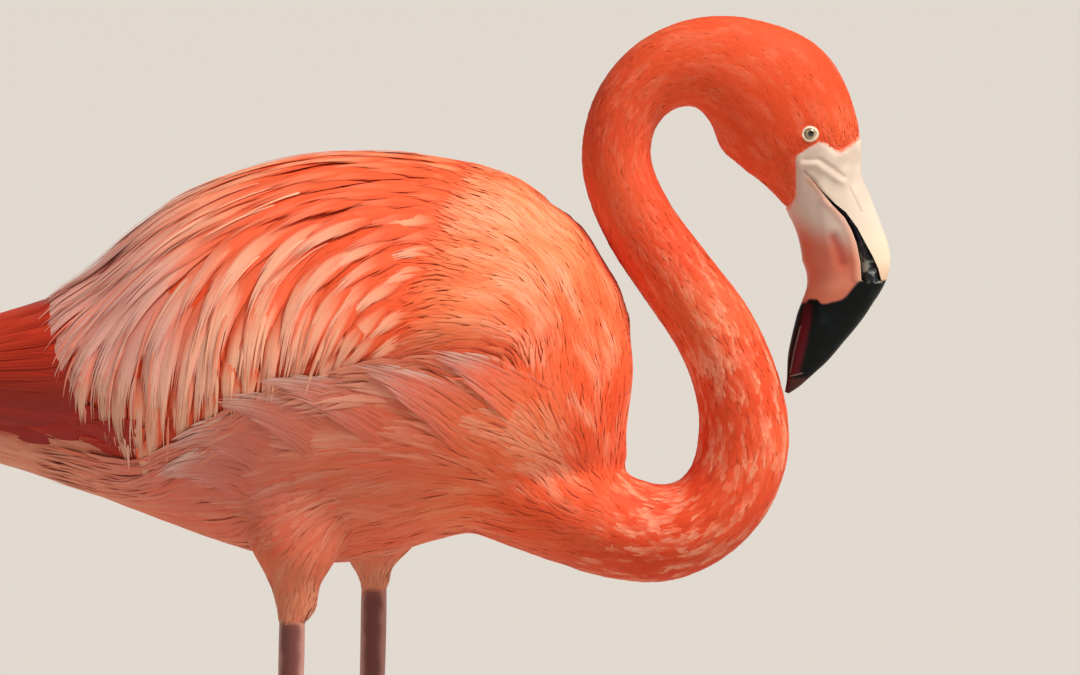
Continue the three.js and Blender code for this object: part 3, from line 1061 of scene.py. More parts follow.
@dataclass
class Surface:
    """A mesh to stand feathers on."""

    tree: BVHTree
    centres: Array
    normals: Array
    areas: Array

    @staticmethod
    def of(data: Mesh) -> "Surface":
        """Reads a mesh."""
        faces = [tuple(face.vertices) for face in data.polygons]
        tree = BVHTree.FromPolygons(points_of(data).tolist(), faces)
        areas = read(data.polygons, "area", 1)[:, 0]
        return Surface(tree, read(data.polygons, "center"), read(data.polygons, "normal"), areas)

    def nearest(self, p: Array) -> tuple[Array, Array]:
        """The nearest points of the surface and their normals."""
        found = [self.tree.find_nearest(q)[:2] for q in p.reshape(-1, 3).tolist()]
        both = np.array(found, float).reshape(*p.shape[:-1], 2, 3)
        return both[..., 0, :], both[..., 1, :]

    def scatter(self, spacing: OfOne, keep: OfTwo, rng: np.random.Generator,
                tries: int = 3) -> tuple[Array, Array]:
        """Points spread evenly over part of the surface.

        Args:
            spacing: a function of points giving the distance to the next root, in millimetres.
            keep: a function of points and normals giving which faces count.
            rng: the source of chance.
            tries: how many candidates are drawn for each place.
        Returns:
            The points and their normals.
        """
        chosen = keep(self.centres, self.normals)
        centres, normals, areas = self.centres[chosen], self.normals[chosen], self.areas[chosen]
        gap = spacing(centres) * MM
        expected = areas / gap**2 * 1.1 * tries
        count = rng.poisson(expected)
        index = np.repeat(np.arange(len(centres)), count)
        rng.shuffle(index)
        size = np.sqrt(areas[index])[:, None]
        jitter = (rng.random((len(index), 3)) - 0.5) * size
        n = normals[index]
        jitter -= (jitter * n).sum(1, keepdims=True) * n
        p, g = centres[index] + jitter, gap[index]
        cell = float(np.median(g)) if len(g) else 1.0
        taken: dict[tuple[int, int, int], list[list[float]]] = {}
        around = list(product((-1, 0, 1), repeat=3))
        result = []
        for i, ((a, b, c), here) in enumerate(zip(np.floor(p / cell).astype(int).tolist(), p.tolist())):
            x, y, z = here
            limit = (g[i] * CLOSEST) ** 2
            near = (q for u, v, w in around for q in taken.get((a + u, b + v, c + w), ()))
            if all((q[0] - x) ** 2 + (q[1] - y) ** 2 + (q[2] - z) ** 2 >= limit for q in near):
                taken.setdefault((a, b, c), []).append(here)
                result.append(i)
        result = np.array(result, int)
        return p[result], n[result]


# ---------------------------------------------------------------- feathers


PATCH = 0.003  # a feather's size on the flat map
EDGE_TURN = 0.22  # how far the light turns over a strand's edge
THINNEST = 0.03 * MM  # the least height of a strand


@dataclass
class Strands:
    """A batch of thin closed strands, each a run of three-sided sections that ends in a point."""

    rows: int
    points: list[Array] = field(default_factory=list)
    tints: list[Array] = field(default_factory=list)
    patches: list[Array] = field(default_factory=list)
    shades: list[Array] = field(default_factory=list)

    def add(self, centre: Array, side: Array, normal: Array, shade: Array, half: Array, thick: Array,
            tint: Array, patch: Array, lane: float, share: float) -> None:
        """Adds strands.

        Args:
            centre, side, normal: (n, rows, 3) the path and its two cross directions.
            shade: (n, rows, 3) the normals that light the strand.
            half, thick: (n, rows) the half-width and the height of each section, in metres.
            tint: (n, rows, 3) linear colours.
            patch: (n, 2) the middle of the feather's patch on the flat map.
            lane, share: where across the patch the strand lies, from -1 to 1, and its part of the width.
        """
        left = centre - side * half[..., None]
        right = centre + side * half[..., None]
        ridge = centre + normal * thick[..., None]
        section = np.stack([left, ridge, right], 2)[:, :-1]
        body = section.reshape(len(centre), -1, 3)
        tip = (centre + normal * thick[..., None] * 0.3)[:, -1:]
        self.points.append(np.concatenate([body, tip], 1).astype(np.float32))
        colour = np.repeat(tint[:, :-1], 3, axis=1)
        self.tints.append(np.concatenate([colour, tint[:, -1:]], 1).astype(np.float32))
        lit = np.stack([unit(shade - EDGE_TURN * side), shade, unit(shade + EDGE_TURN * side)], 2)[:, :-1]
        lit = lit.reshape(len(centre), -1, 3)
        self.shades.append(np.concatenate([lit, shade[:, -1:]], 1).astype(np.float32))
        s = np.repeat(np.linspace(0, 1, self.rows)[:-1], 3)
        middle = 0.5 * lane * (1 - share)
        across = middle + share * np.tile(np.array([-0.5, 0.0, 0.5]), self.rows - 1)
        local = np.stack([s - 0.5, across], -1)
        local = np.vstack([local, [0.5, middle]]) * PATCH
        self.patches.append((patch[:, None] + local[None]).astype(np.float32))

    def build(self, name: str, material: Material, limit: int = 190000) -> list[Object]:
        """Makes the meshes, from the bird's rear to its front.

        Args:
            name: the object's name; pieces of one batch are numbered.
            material: the strands' finish.
            limit: the most triangles in one piece.
        Returns:
            The objects.
        """
        made = [np.concatenate(part) for part in (self.points, self.tints, self.patches, self.shades)]
        order = np.argsort(made[0][:, 0, 0], kind="stable")
        triangles = (self.rows - 2) * 6 + 4
        pieces = math.ceil(len(order) / (limit // triangles))
        labels = [f"{name}_{k + 1}" for k in range(pieces)] if pieces > 1 else [name]
        chunks = zip(labels, np.array_split(order, pieces))
        return [self.piece(label, material, *(part[chunk] for part in made)) for label, chunk in chunks]

    def piece(self, name: str, material: Material, points: Array, tints: Array, patches: Array,
              shades: Array) -> Object:
        """Makes one mesh.

        Args:
            name, material: the object's own.
            points, tints, patches, shades: (n, size, 3 or 2) what each strand's points have.
        Returns:
            The object.
        """
        n, size = points.shape[:2]
        end = (self.rows - 2) * 3
        pairs = ((0, 1), (1, 2), (2, 0))
        quads = [(r + b, r + 3 + b, r + 3 + a, r + a) for r in range(0, end, 3) for a, b in pairs]
        tris = [(2, 1, 0)] + [(end + b, size - 1, end + a) for a, b in pairs]
        one = np.concatenate([np.ravel(quads), np.ravel(tris)])
        loops = (one[None] + (np.arange(n) * size)[:, None]).ravel()
        sizes = np.tile(np.array([4] * len(quads) + [3] * len(tris)), n)
        starts = np.concatenate([[0], np.cumsum(sizes)[:-1]])
        data = bpy.data.meshes.new(name)
        data.vertices.add(n * size)
        data.vertices.foreach_set("co", points.ravel())
        data.loops.add(len(loops))
        data.loops.foreach_set("vertex_index", loops.astype(np.int32))
        data.polygons.add(len(sizes))
        data.polygons.foreach_set("loop_start", starts.astype(np.int32))
        data.polygons.foreach_set("loop_total", sizes.astype(np.int32))
        data.update(calc_edges=True)
        smooth_shaded(data)
        # The barbs merge into one soft surface, so the light follows the body more than the strand.
        turned = np.zeros(len(quads) + len(tris), bool)
        turned[2 : len(quads) : 3] = turned[-1] = True
        facing = np.where(np.repeat(np.tile(turned, n), sizes), -1.0, 1.0)
        data.normals_split_custom_set(shades.reshape(-1, 3)[loops] * facing[:, None])
        paint(data, tints.reshape(-1, 3))
        layer = data.uv_layers.new(name="OFBake")
        layer.data.foreach_set("uv", patches.reshape(-1, 2)[loops].ravel())
        data.materials.append(material)
        return link(name, data, False)


class Layer(Enum):
    """The kinds of feather, and of loose barb."""

    CROWN = "crown"
    NECK = "neck"
    BODY = "body"
    CAPE = "cape"
    WISP = "wisp"
    COVERT = "covert"
    TERTIAL = "tertial"
    PRIMARY = "primary"
    TAIL = "tail"


@dataclass(frozen=True)
class Habit:
    """How one kind of feather is made.

    `strands` and `rows` are counts, `stray` is in radians, and the rest are shares. `overlap` is a
    strand's half-width over the gap between strands, `thick` its height over its half-width, `bow`
    how much lower the vane's edges lie than its middle, and `root` how far along it is fully open.
    """

    strands: int
    rows: int
    overlap: float
    thick: float
    ragged: float
    stray: float
    narrow: float = 0.45
    notch: float = 0.40
    bow: float = 0.10
    drift: float = 0.06
    blunt: float = 0.75
    root: float = 0.30
    round: float = 0.35
    sparkle: float = 0.05


HABITS = {
    Layer.CROWN: Habit(strands=1, rows=4, overlap=1.0, thick=0.30, ragged=0.10, stray=0.09),
    Layer.NECK: Habit(strands=1, rows=4, overlap=1.0, thick=0.30, ragged=0.10, stray=0.10),
    Layer.BODY: Habit(strands=1, rows=5, overlap=1.0, thick=0.20, ragged=0.30, stray=0.06, blunt=0.40),
    Layer.CAPE: Habit(strands=15, rows=11, overlap=0.95, thick=0.12, ragged=0.20, stray=0.035, notch=0.45,
                      narrow=0.35, bow=0.08, drift=0.04, blunt=0.55, root=0.42),
    Layer.WISP: Habit(strands=1, rows=8, overlap=1.0, thick=0.2, ragged=0.2, stray=0.10, blunt=0.3),
    Layer.COVERT: Habit(strands=7, rows=8, overlap=0.98, thick=0.10, ragged=0.10, stray=0.05, notch=0.3),
    Layer.TERTIAL: Habit(strands=11, rows=12, overlap=0.98, thick=0.08, ragged=0.04, stray=0.0, notch=0.22),
    Layer.PRIMARY: Habit(strands=7, rows=12, overlap=0.98, thick=0.10, ragged=0.02, stray=0.0, notch=0.25),
    Layer.TAIL: Habit(strands=9, rows=10, overlap=1.1, thick=0.09, ragged=0.03, stray=0.0,
                      narrow=0.12, notch=0.12, blunt=0.90),
}


@dataclass(frozen=True)
class Way:
    """The paths of many feathers: points, directions and normals, each (n, rows, 3)."""

    points: Array
    heads: Array
    normals: Array

    @property
    def count(self) -> int:
        """How many paths there are."""
        return len(self.points)

    def at(self, f: Array) -> "Way":
        """The same paths at shares f (n, k) of their length."""
        return Way(*(resampled(v, f) for v in (self.points, self.heads, self.normals)))

    def chosen(self, which: Array) -> "Way":
        """Some of the paths."""
        return Way(self.points[which], self.heads[which], self.normals[which])

    @staticmethod
    def joined(ways: list["Way"]) -> "Way":
        """All the paths of several ways, in order."""
        keys = ("points", "heads", "normals")
        return Way(*(np.concatenate([getattr(way, key) for way in ways]) for key in keys))


def resampled(path: Array, f: Array) -> Array:
    """Reads values along paths.

    Args:
        path: (n, rows, 3) the values.
        f: (n, k) shares of the path's length.
    Returns:
        (n, k, 3) values.
    """
    rows = path.shape[1]
    at = np.clip(f, 0, 1) * (rows - 1)
    k = np.minimum(at.astype(int), rows - 2)
    part = (at - k)[..., None]
    index = np.arange(len(path))[:, None]
    return path[index, k] * (1 - part) + path[index, k + 1] * part


def over_surface(surface: Surface, root: Array, normal: Array, lie: OfTwo, length: Array, rows: int,
                 turn: Array, cling: Array | float = 1.0) -> Way:
    """Follows the lie of the coat over a surface from each root.

    Args:
        surface: what the feathers lie on.
        root, normal: (n, 3) where each feather starts.
        lie: a function of points and normals giving directions.
        length: (n,) in millimetres.
        rows: how many points each path has.
        turn: (n,) how far each feather strays from the lie, in radians.
        cling: 1 keeps to the surface and 0 hangs free.
    Returns:
        The paths.
    """
    p, n = root, normal
    points, heads, normals = [], [], []
    step = (length * MM / (rows - 1))[:, None]
    for row in range(rows):
        d = lie(p, n)
        d = unit(d + np.cross(n, d) * turn[:, None])
        points.append(p)
        heads.append(d)
        normals.append(n)
        if row < rows - 1:
            ahead = p + d * step
            p, n = surface.nearest(ahead)
            p = mix(ahead, p, cling)
            n = unit(mix(normals[-1], n, 0.5 * cling))
    return Way(*(np.stack(x, 1) for x in (points, heads, normals)))


def along_run(run: Run, start: Array, end: Array, angle: Array, turn: Array, rows: int, inset: float) -> Way:
    """Paths over a run's own surface.

    Args:
        run: the run of sections.
        start, end: (n,) places on the run.
        angle, turn: (n,) radians round it from the top at the start, and the change to the end.
        rows: how many points each path has.
        inset: millimetres below the run's surface.
    Returns:
        The paths.
    """
    s = np.linspace(0, 1, rows)[None]
    t = start[:, None] + (end - start)[:, None] * s
    a = angle[:, None] + turn[:, None] * s
    centre, _, dorsal, reach = run.frame(t)
    up, out = np.cos(a) * np.sign(dorsal[..., 2]), np.sin(a)
    tall = np.where(up > 0, reach[..., 0], reach[..., 1]) - inset * MM
    wide = reach[..., 2] - inset * MM
    p = centre + dorsal * (up * tall)[..., None]
    p[..., 1] += out * wide
    n = dorsal * (up / tall)[..., None]
    n[..., 1] += out / wide
    heads = unit(np.gradient(p, axis=1))
    return Way(p, heads, square_to(unit(n), heads))


def both_wings(start: float, end: Array, angle: Array, twist: float, rows: int, inset: float) -> Way:
    """Quills of both folded wings, along the rear.

    Args:
        start: where all begin on the rear's run.
        end, angle: (n,) where each ends, and its degrees from the top at its start.
        twist: the share of that angle by which it nears the top at its end.
        rows, inset: as for along_run.
    Returns:
        The right wing's paths, then the left's.
    """
    ways = []
    for side in (-1.0, 1.0):
        turned = np.radians(angle) * side
        ways.append(along_run(REAR, np.full(len(end), start), end, turned, -turned * twist, rows, inset))
    return Way.joined(ways)


def rising(root: Array, lift: Array, slope: Array = 0.0, low: float = -0.05, high: float = 0.3) -> OfOne:
    """Heights along feathers, whose roots stand in the skin and which lie over one another.

    Args:
        root: the height from which all start, in millimetres.
        lift: how much is gained between the shares `low` and `high` of the length.
        slope: how much is gained evenly from root to tip.
    Returns:
        A function of shares along the feathers.
    """
    return lambda f: root + lift * smooth(low, high, f) + slope * f


@dataclass
class Feathers:
    """A batch of feathers of one kind."""

    layer: Layer
    rng: np.random.Generator

    def lay(self, way: Way, width: Array, height: OfOne, tint: Tint, patch: Array) -> Strands:
        """Lays each feather's strands along its path.

        Args:
            way: the paths.
            width: (n,) the feather's half-width in millimetres.
            height: a function of shares along (n, k) giving millimetres above the surface.
            tint: a function of (shares along (n, k), place across from -1 to 1) giving colours.
            patch: (n, 2) the root's place on the flat map.
        Returns:
            The strands.
        """
        habit, n = HABITS[self.layer], way.count
        strands = Strands(habit.rows)
        s = np.linspace(0, 1, habit.rows)
        single = habit.strands == 1
        for j in range(habit.strands):
            a = 0.0 if single else 2 * j / (habit.strands - 1) - 1
            # The outer strands start a little later and end sooner, which rounds the feather.
            end = 1 - habit.notch * abs(a) ** 1.8 - habit.ragged * self.rng.random(n)
            start = 0.10 * abs(a) * np.ones(n)
            f = start[:, None] + (end - start)[:, None] * s[None]
            part = way.at(f)
            d, up = part.heads, unit(part.normals)
            side = unit(np.cross(d, up))
            if habit.root <= 0.3:
                open_up = smooth(-0.30, habit.root, f)
            else:
                open_up = np.clip(f / habit.root, 0, 1) ** 0.8
            vane = open_up * (1 - habit.narrow * f**2.2)
            wander = self.rng.normal(0, habit.drift, n)[:, None] * s[None] ** 2
            c = part.points + side * ((a + wander) * vane * width[:, None] * MM)[..., None]
            lift = height(f) - habit.bow * a * a * width[:, None] * vane
            c = c + up * (lift * MM)[..., None]
            swell = np.minimum(1, (1 - s) / (1 - habit.blunt)) ** 0.7
            if single:
                gap, swell = width[:, None], swell * (0.45 + 0.55 * smooth(0, 0.3, s))
                half = habit.overlap * gap * swell[None]
            else:
                gap = (width * 2 / (habit.strands - 1))[:, None]
                half = habit.overlap * gap * swell[None] * vane
            half = half * self.rng.uniform(0.88, 1.12, n)[:, None] * MM
            thick = np.maximum(habit.thick * half, THINNEST)
            tilt = self.rng.normal(0, habit.sparkle, n)[:, None, None]
            shade = unit(up + side * (habit.round * a) + d * tilt)
            strands.add(c, side, up, shade, half, thick, tint(f, a), patch, a, 1 / habit.strands)
        return strands


# The edge of the long shoulder plumes in the side view: x, z.
CAPE_OUTLINE = [
    (98, 735), (95, 697), (88, 672), (44, 668), (-10, 661), (-43, 651), (-74, 632), (-99, 614),
    (-121, 631), (-142, 648), (-156, 668), (-163, 700), (-120, 760), (-40, 800), (60, 800), (90, 766),
]


# The flank's loose lobes in the side view: the x and z of each one's root, bend and tip.
FLANK_LOBES = [
    [(98, 640), (70, 669), (34, 680)],
    [(70, 630), (36, 664), (-2, 674)],
    [(38, 626), (-4, 664), (-50, 665)],
    [(4, 622), (-34, 656), (-70, 655)],
    [(-20, 616), (-62, 652), (-92, 629)],
    [(-32, 606), (-68, 632), (-98, 614)],
]


def cape_depth(p: Array) -> Array:
    """How far a point is inside the cape's edge in the side view, in millimetres; 0 outside."""
    x, z = side_view(p)
    return np.where(inside(x, z, CAPE_OUTLINE), polyline_gap(x, z, CAPE_OUTLINE[:12]), 0.0)


def cape_top(x: Array) -> Array:
    """The height of the back's outline in the side view, in millimetres."""
    return 777 - np.where(x < 20, 0.0024, 0.004) * (x - 20) ** 2


def cape_lie(p: Array, n: Array) -> Array:
    """The lie of the long shoulder plumes: along the back, and ever steeper down the wing.

    Args:
        p, n: points and the skin's normals there.
    Returns:
        Unit vectors.
    """
    x, z = side_view(p)
    slope = np.where(x < 20, np.arctan(0.0048 * (20 - x)), -np.arctan(0.008 * (x - 20)) * 0.6)
    deep = np.clip(cape_top(x) - z, 0, 200)
    steep = smooth(0, 92, deep) ** 0.9 * smooth(-80, 55, -x)
    angle = slope + (math.radians(84) - slope) * steep
    return square_to(np.stack([-np.cos(angle), 0.05 * np.sign(p[:, 1]), -np.sin(angle)], -1), n)


def cape_front(z: Array) -> Array:
    """The x of the foremost plume's root at a height, in millimetres."""
    return 46 + 0.5 * np.clip(z - 705, 0, 80)


# Some small feathers are broad and low, and close the gaps between the rest.
FILLER_SHARE, FILLER_WIDTH = 0.30, 1.8
LOBE_STRANDS = 200  # in each of the flank's lobes, half of them on either side
TRUNK_HALF = 75.0  # a little over the trunk's half-width
HEAD_START = 14.6  # where on the spine the head's feathers begin


@dataclass
class Coat:
    """Every feather that stands on the skin."""

    skin: Skin
    body_map: BodyMap
    palette: Palette
    seed: int = 7

    def __post_init__(self) -> None:
        """Sets up chance, the surface and the two finishes."""
        self.rng = np.random.default_rng(self.seed)
        self.surface = self.skin.surface
        self.soft, self.sleek = BARBS.build(), VANE.build()

    def dress(self, layer: Layer, name: str, way: Way, width: Array, height: OfOne,
              tint: Tint) -> list[Object]:
        """Lays feathers of one kind and makes their meshes.

        Args:
            layer, name: the kind, and what the pieces are called.
            way, width, height, tint: as for Feathers.lay.
        Returns:
            The objects.
        """
        patch = self.body_map.unwrap(way.points[:, 0])
        strands = Feathers(layer, self.rng).lay(way, width, height, tint, patch)
        quill = layer in (Layer.COVERT, Layer.TERTIAL, Layer.PRIMARY, Layer.TAIL)
        return strands.build(name, self.sleek if quill else self.soft)

    # ---- velvet of head and neck

    def velvet_length(self, t: Array, face: Array) -> Array:
        """Length in millimetres of the small feathers of head and neck."""
        length = 11.5 - 3.4 * smooth(3, 9, t) - 1.8 * smooth(12, 16, t) - 1.2 * smooth(16.4, 17.6, t)
        return length * (0.5 + 0.5 * smooth(0.5, 9, -face))

    def velvet(self) -> list[Object]:
        """The short dense feathers of head and neck."""

        def spacing(p: Array) -> Array:
            """Closer towards the head."""
            t = self.body_map.neck_share(p)[1]
            neck, head = 0.18 * smooth(8, 13, t), 0.30 * smooth(13.5, 15.5, t)
            return 1.58 - neck - head - 0.14 * smooth(16.5, 17.5, t)

        def keep(p: Array, n: Array) -> Array:
            """All of head and neck but the bare face and the eyes."""
            share, _ = self.body_map.neck_share(p)
            eye = np.hypot(p[:, 0] / MM - EYE[0], p[:, 2] / MM - EYE[2])
            return (on_face(p) + 1.3 * (noise(p, 1.5, 33) - 0.5) < 0.3) & (eye > 3.9) & (share > 0.5)

        roots, normals = self.surface.scatter(spacing, keep, self.rng)
        share, t = self.body_map.neck_share(roots)
        face = on_face(roots)
        length = self.velvet_length(t, face)
        made = []
        for layer, name, chosen in (
            (Layer.CROWN, "velvet_head", t > HEAD_START),
            (Layer.NECK, "velvet_neck", t <= HEAD_START),
        ):
            r, size = roots[chosen], length[chosen]
            turn = self.rng.normal(0, HABITS[layer].stray, len(r))
            way = over_surface(self.surface, r, normals[chosen], self.body_map.lie, size, 4, turn)
            base = 0.14 if layer is Layer.CROWN else 0.18
            filler = self.rng.random(len(r)) < FILLER_SHARE
            rise = (self.rng.uniform(0.02, 0.12, len(r)) * ~filler)[:, None] + 0.10
            height = rising(-0.15, base + 0.15, rise, high=0.25)
            width = (0.18 + size * 0.058) * np.where(filler, FILLER_WIDTH, 1.0)
            made += self.dress(layer, name, way, width, height, self.dappled(r, t[chosen], share[chosen]))
        return made

    def dapple(self, p: Array, t: Array, share: Array) -> Array:
        """Fine dashes of peach and deep red on the mean colour.

        Args:
            p, t, share: as for Palette.body.
        Returns:
            (n, 3) the colour of each small feather.
        """
        base = self.palette.body(p, t, share)
        turn = self.body_map.unwrap(p)[:, 1]
        flat = np.stack([t * 25 / 3.2, turn * 125, np.zeros(len(p))], -1) * MM
        spots = noise(flat, 1.7, 11) * 0.6 + noise(flat, 4.0, 12) * 0.4
        strength = 0.15 + 0.45 * smooth(1.0, 3.5, t) * (1 - smooth(8.5, 11.5, t))
        light = strength * smooth(0.44, 0.74, spots)
        dark = 0.8 * strength * smooth(0.50, 0.22, spots)
        return layered(base, (self.palette.peach, light), (self.palette.deep, dark))

    def dappled(self, p: Array, t: Array, share: Array) -> Tint:
        """Colours of the small feathers, from the mean colour at the root to each one's own."""
        base, tip = self.palette.body(p, t, share), self.dapple(p, t, share)
        glow = (0.96 + 0.08 * self.rng.random(len(p)))[:, None]

        def colour(f: Array, a: float) -> Array:
            """The feather's own colour shows most two thirds along it."""
            part = smooth(0.0, 0.6, f) * (1 - 0.5 * smooth(0.75, 1.0, f))
            return mix((base * glow)[:, None], (tip * glow)[:, None], part)

        return colour

    # ---- breast, belly, flank and thigh

    def lie(self, p: Array, n: Array) -> Array:
        """The lie of the trunk's coat, which turns to the plumes' own under them."""
        return unit(mix(self.body_map.lie(p, n), cape_lie(p, n), smooth(0, 18, cape_depth(p))))

    def streaks(self, way: Way, size: float, seed: int) -> Array:
        """Noise smeared along the paths, so that neighbours in a row look alike.

        Args:
            way: the paths.
            size, seed: as for noise.
        Returns:
            One value from 0 to 1 for each path.
        """
        picked = way.points[:, ::2]
        value = np.mean([noise(picked[:, i], size, seed) for i in range(picked.shape[1])], 0)
        return np.clip(0.5 + (value - value.mean()) * 0.2 / value.std(), 0, 1)

    def body_length(self, p: Array) -> Array:
        """The length of the feathers of the trunk: short in front, long on the flank.

        Args:
            p: their roots, in metres.
        Returns:
            Millimetres.
        """
        x, z = side_view(p)
        flank = smooth(105, 25, x) * smooth(570, 600, z) * (1 - smooth(672, 700, z))
        length = 17 + 23 * flank + 8 * smooth(-20, -110, x)
        length = length + (12 - length) * smooth(0.05, 0.5, self.body_map.neck_share(p)[0])
        for lx, ly, _, end in LEGS.values():
            near = 1 - smooth(16, 42, np.hypot(x - lx, p[:, 1] / MM - ly))
            length = length + (10.5 - length) * near * (1 - smooth(end + 6, end + 44, z))
        return length

    def body(self) -> list[Object]:
        """The feathers of breast, back, belly, flank, thigh and undertail."""

        def keep(p: Array, n: Array) -> Array:
            """The trunk and thighs, but not the bare legs."""
            ok = self.body_map.neck_share(p)[0] <= 0.5
            for x, y, _, end in LEGS.values():
                leg = np.hypot(p[:, 0] / MM - x, p[:, 1] / MM - y) < 30
                ok &= ~(leg & (p[:, 2] / MM < end + 1.5))
            return ok

        roots, normals = self.surface.scatter(lambda p: 1.02 + 0.054 * self.body_length(p), keep, self.rng)
        length = self.body_length(roots) * self.rng.uniform(0.85, 1.15, len(roots))
        turn = self.rng.normal(0, HABITS[Layer.BODY].stray, len(roots))
        turn += 0.75 * (noise(roots, 15, 61) - 0.5) + 0.35 * (noise(roots, 6, 62) - 0.5)
        cling = np.ones(len(roots))
        for lx, ly, _, end in LEGS.values():
            near = np.hypot(roots[:, 0] / MM - lx, roots[:, 1] / MM - ly) < 34
            cling = np.where(near, smooth(end + 2, end + 24, roots[:, 2] / MM), cling)
        way = over_surface(self.surface, roots, normals, self.lie, length, 7, turn, cling)
        filler = self.rng.random(len(roots)) < FILLER_SHARE
        order = (self.rng.uniform(0, 1, len(roots)) * ~filler)[:, None]
        size = length[:, None]
        # The upper flank's tips lie over the lower edge of the plumes.
        x, z = side_view(roots)
        gap = polyline_gap(x, z, CAPE_OUTLINE[2:8])
        over = (3.2 * smooth(24, 8, gap) * (cape_depth(roots) < 3) * (z < 674))[:, None]
        calm = 1 - 0.45 * smooth(0.05, 0.5, self.body_map.neck_share(roots)[0])[:, None]
        # Those in front of the plumes lap over their roots.
        ahead = x - cape_front(z)
        lap = (0.7 * smooth(-14, -2, ahead) * smooth(34, 12, ahead) * (cape_depth(roots) > 0))[:, None]

        lift = calm * (0.5 + 0.28 * order + size * 0.006)
        height = rising(-0.3, lift, calm * (0.12 + size * 0.006) + over + lap)
        width = (0.38 + length * 0.025) * np.where(filler, FILLER_WIDTH, 1.0)
        return self.dress(Layer.BODY, "coat_body", way, width, height, self.breast_tint(roots, way))

    def on_side(self, x: Array, z: Array, side: Array) -> tuple[Array, Array]:
        """Finds the points of a flank that stand at x and z in the side view.

        Args:
            x, z: in millimetres.
            side: 1 for the left flank and -1 for the right.
        Returns:
            The points and their normals.
        """
        p = np.stack([x, side * TRUNK_HALF + 0 * x, z], -1) * MM
        for _ in range(4):
            spot, normal = self.surface.nearest(p)
            p = np.stack([p[..., 0], spot[..., 1], p[..., 2]], -1)
        return spot, normal

    def flank_lobes(self) -> list[Object]:
        """Loose pale lobes of the flank, which curl up over the plumes' lower edge."""
        rng, c, lobes = self.rng, self.palette, np.array(FLANK_LOBES)
        n = LOBE_STRANDS * len(lobes)
        line = lobes[np.arange(n) % len(lobes)][:, :, None]
        side = np.where(np.arange(n) // len(lobes) % 2, -1.0, 1.0)[:, None]
        across = rng.uniform(-1, 1, n)[:, None]
        begin = rng.uniform(0, 0.4, n)[:, None]
        end = 1 - 0.30 * across**2 - rng.uniform(0, 0.15, n)[:, None]
        g = begin + (end - begin) * np.linspace(0, 1, 8)[None]
        a, b, tip = (line[:, i] for i in range(3))
        path = (1 - g)[..., None] ** 2 * a + (2 * g * (1 - g))[..., None] * b + g[..., None] ** 2 * tip
        along = unit(np.gradient(path, axis=1))
        off = (across * (2 + 12 * (1 - g) ** 0.7))[..., None]
        path = path + off * np.stack([along[..., 1], -along[..., 0]], -1)
        points, normals = self.on_side(path[..., 0], path[..., 1], side)
        heads = unit(np.gradient(points, axis=1))
        way = Way(points, heads, square_to(normals, heads))
        top = rng.uniform(4.2, 6.0, n)[:, None]
        zero = np.zeros(n)
        tone = c.body(points[:, 0], zero, zero) * rng.uniform(0.92, 1.06, n)[:, None]
        white = (0.50 + 0.35 * across[:, 0] + rng.uniform(-0.20, 0.15, n))[:, None]

        def height(f: Array) -> Array:
            """The lobe rises ever more towards its tip."""
            return -0.6 + 1.6 * smooth(0.0, 0.4, f) + top * (begin + (end - begin) * f) ** 2

        def colour(f: Array, a: float) -> Array:
            """The flank's own colour at the root, then mauve as painted shade under the tip, then a frosted
            tip.
            """
            pale = (c.mauve, 0.22 * smooth(0.2, 0.6, f)), (c.frost, white * smooth(0.45, 1.0, f))
            return layered(tone[:, None], *pale)

        return self.dress(Layer.WISP, "flank_lobes", way, rng.uniform(0.8, 1.4, n), height, colour)

    def breast_tint(self, p: Array, way: Way) -> Tint:
        """Soft dashes of peach and flame, frosted on the flank.

        Args:
            p: the feathers' roots, in metres.
            way: their paths.
        Returns:
            Their colours.
        """
        share, t = self.body_map.neck_share(p)
        c = self.palette
        base = c.body(p, t, share)
        x, z = side_view(p)
        under = smooth(2, 14, cape_depth(p)) * smooth(4, -12, x - cape_front(z))
        flank = smooth(105, 20, x) * smooth(585, 625, z) * (1 - smooth(672, 690, z))
        front = smooth(40, 90, x) * smooth(575, 610, z)
        spots = 0.6 * self.streaks(way, 4.5, 71) + 0.4 * self.streaks(way, 12.0, 72)
        light = (0.25 + 0.30 * front + 0.08 * flank) * smooth(0.42, 0.78, spots)
        dark = (0.25 + 0.20 * front) * smooth(0.52, 0.26, spots)
        pale = mix(c.peach, c.shell, 0.8 * flank)
        edge = flank * smooth(34, 4, np.abs(z - 664)) * smooth(-110, -60, x)
        tone = layered(
            base,
            (pale, light),
            (c.flame, dark),
            (self.dapple(p, t, share), smooth(0.02, 0.45, share)),
            (c.shell, 0.22 * edge * smooth(0.3, 0.8, noise(p, 12, 73))),
        )
        # Under the plumes the coat is hot, as it shows through their seams; at the rear, low down, it is
        # painted in shaded scarlet as painted shade.
        hot = mix(mix(c.flame, c.coral, 0.55), c.scarlet_in_shade, smooth(-70, -98, x) * (1 - smooth(655, 685, z)))
        tone, base = mix(tone, hot, 0.85 * under), mix(base, hot, 0.85 * under)
        glow = (0.975 + 0.05 * self.rng.random(len(p)))[:, None, None]

        def colour(f: Array, a: float) -> Array:
            """The mean colour at the root, the feather's own along it, and a paler tip on the flank."""
            frosted = (0.6 * tone + 0.4 * pale)[:, None]
            own = mix(base[:, None], tone[:, None], smooth(0.05, 0.6, f))
            return mix(own, frosted, (0.35 * flank)[:, None] * smooth(0.6, 1.0, f)) * glow

        return colour

    # ---- the long shoulder plumes

    def plumes(self) -> list[Object]:
        """The long soft plumes that lie over both folded wings."""
        rng = self.rng

        def keep(p: Array, n: Array) -> Array:
            """The back and the folded wings behind the foremost plume."""
            x, z = side_view(p)
            return (cape_depth(p) > 3) & (p[:, 2] > 0.622) & (p[:, 0] > -0.135) & (x < cape_front(z))

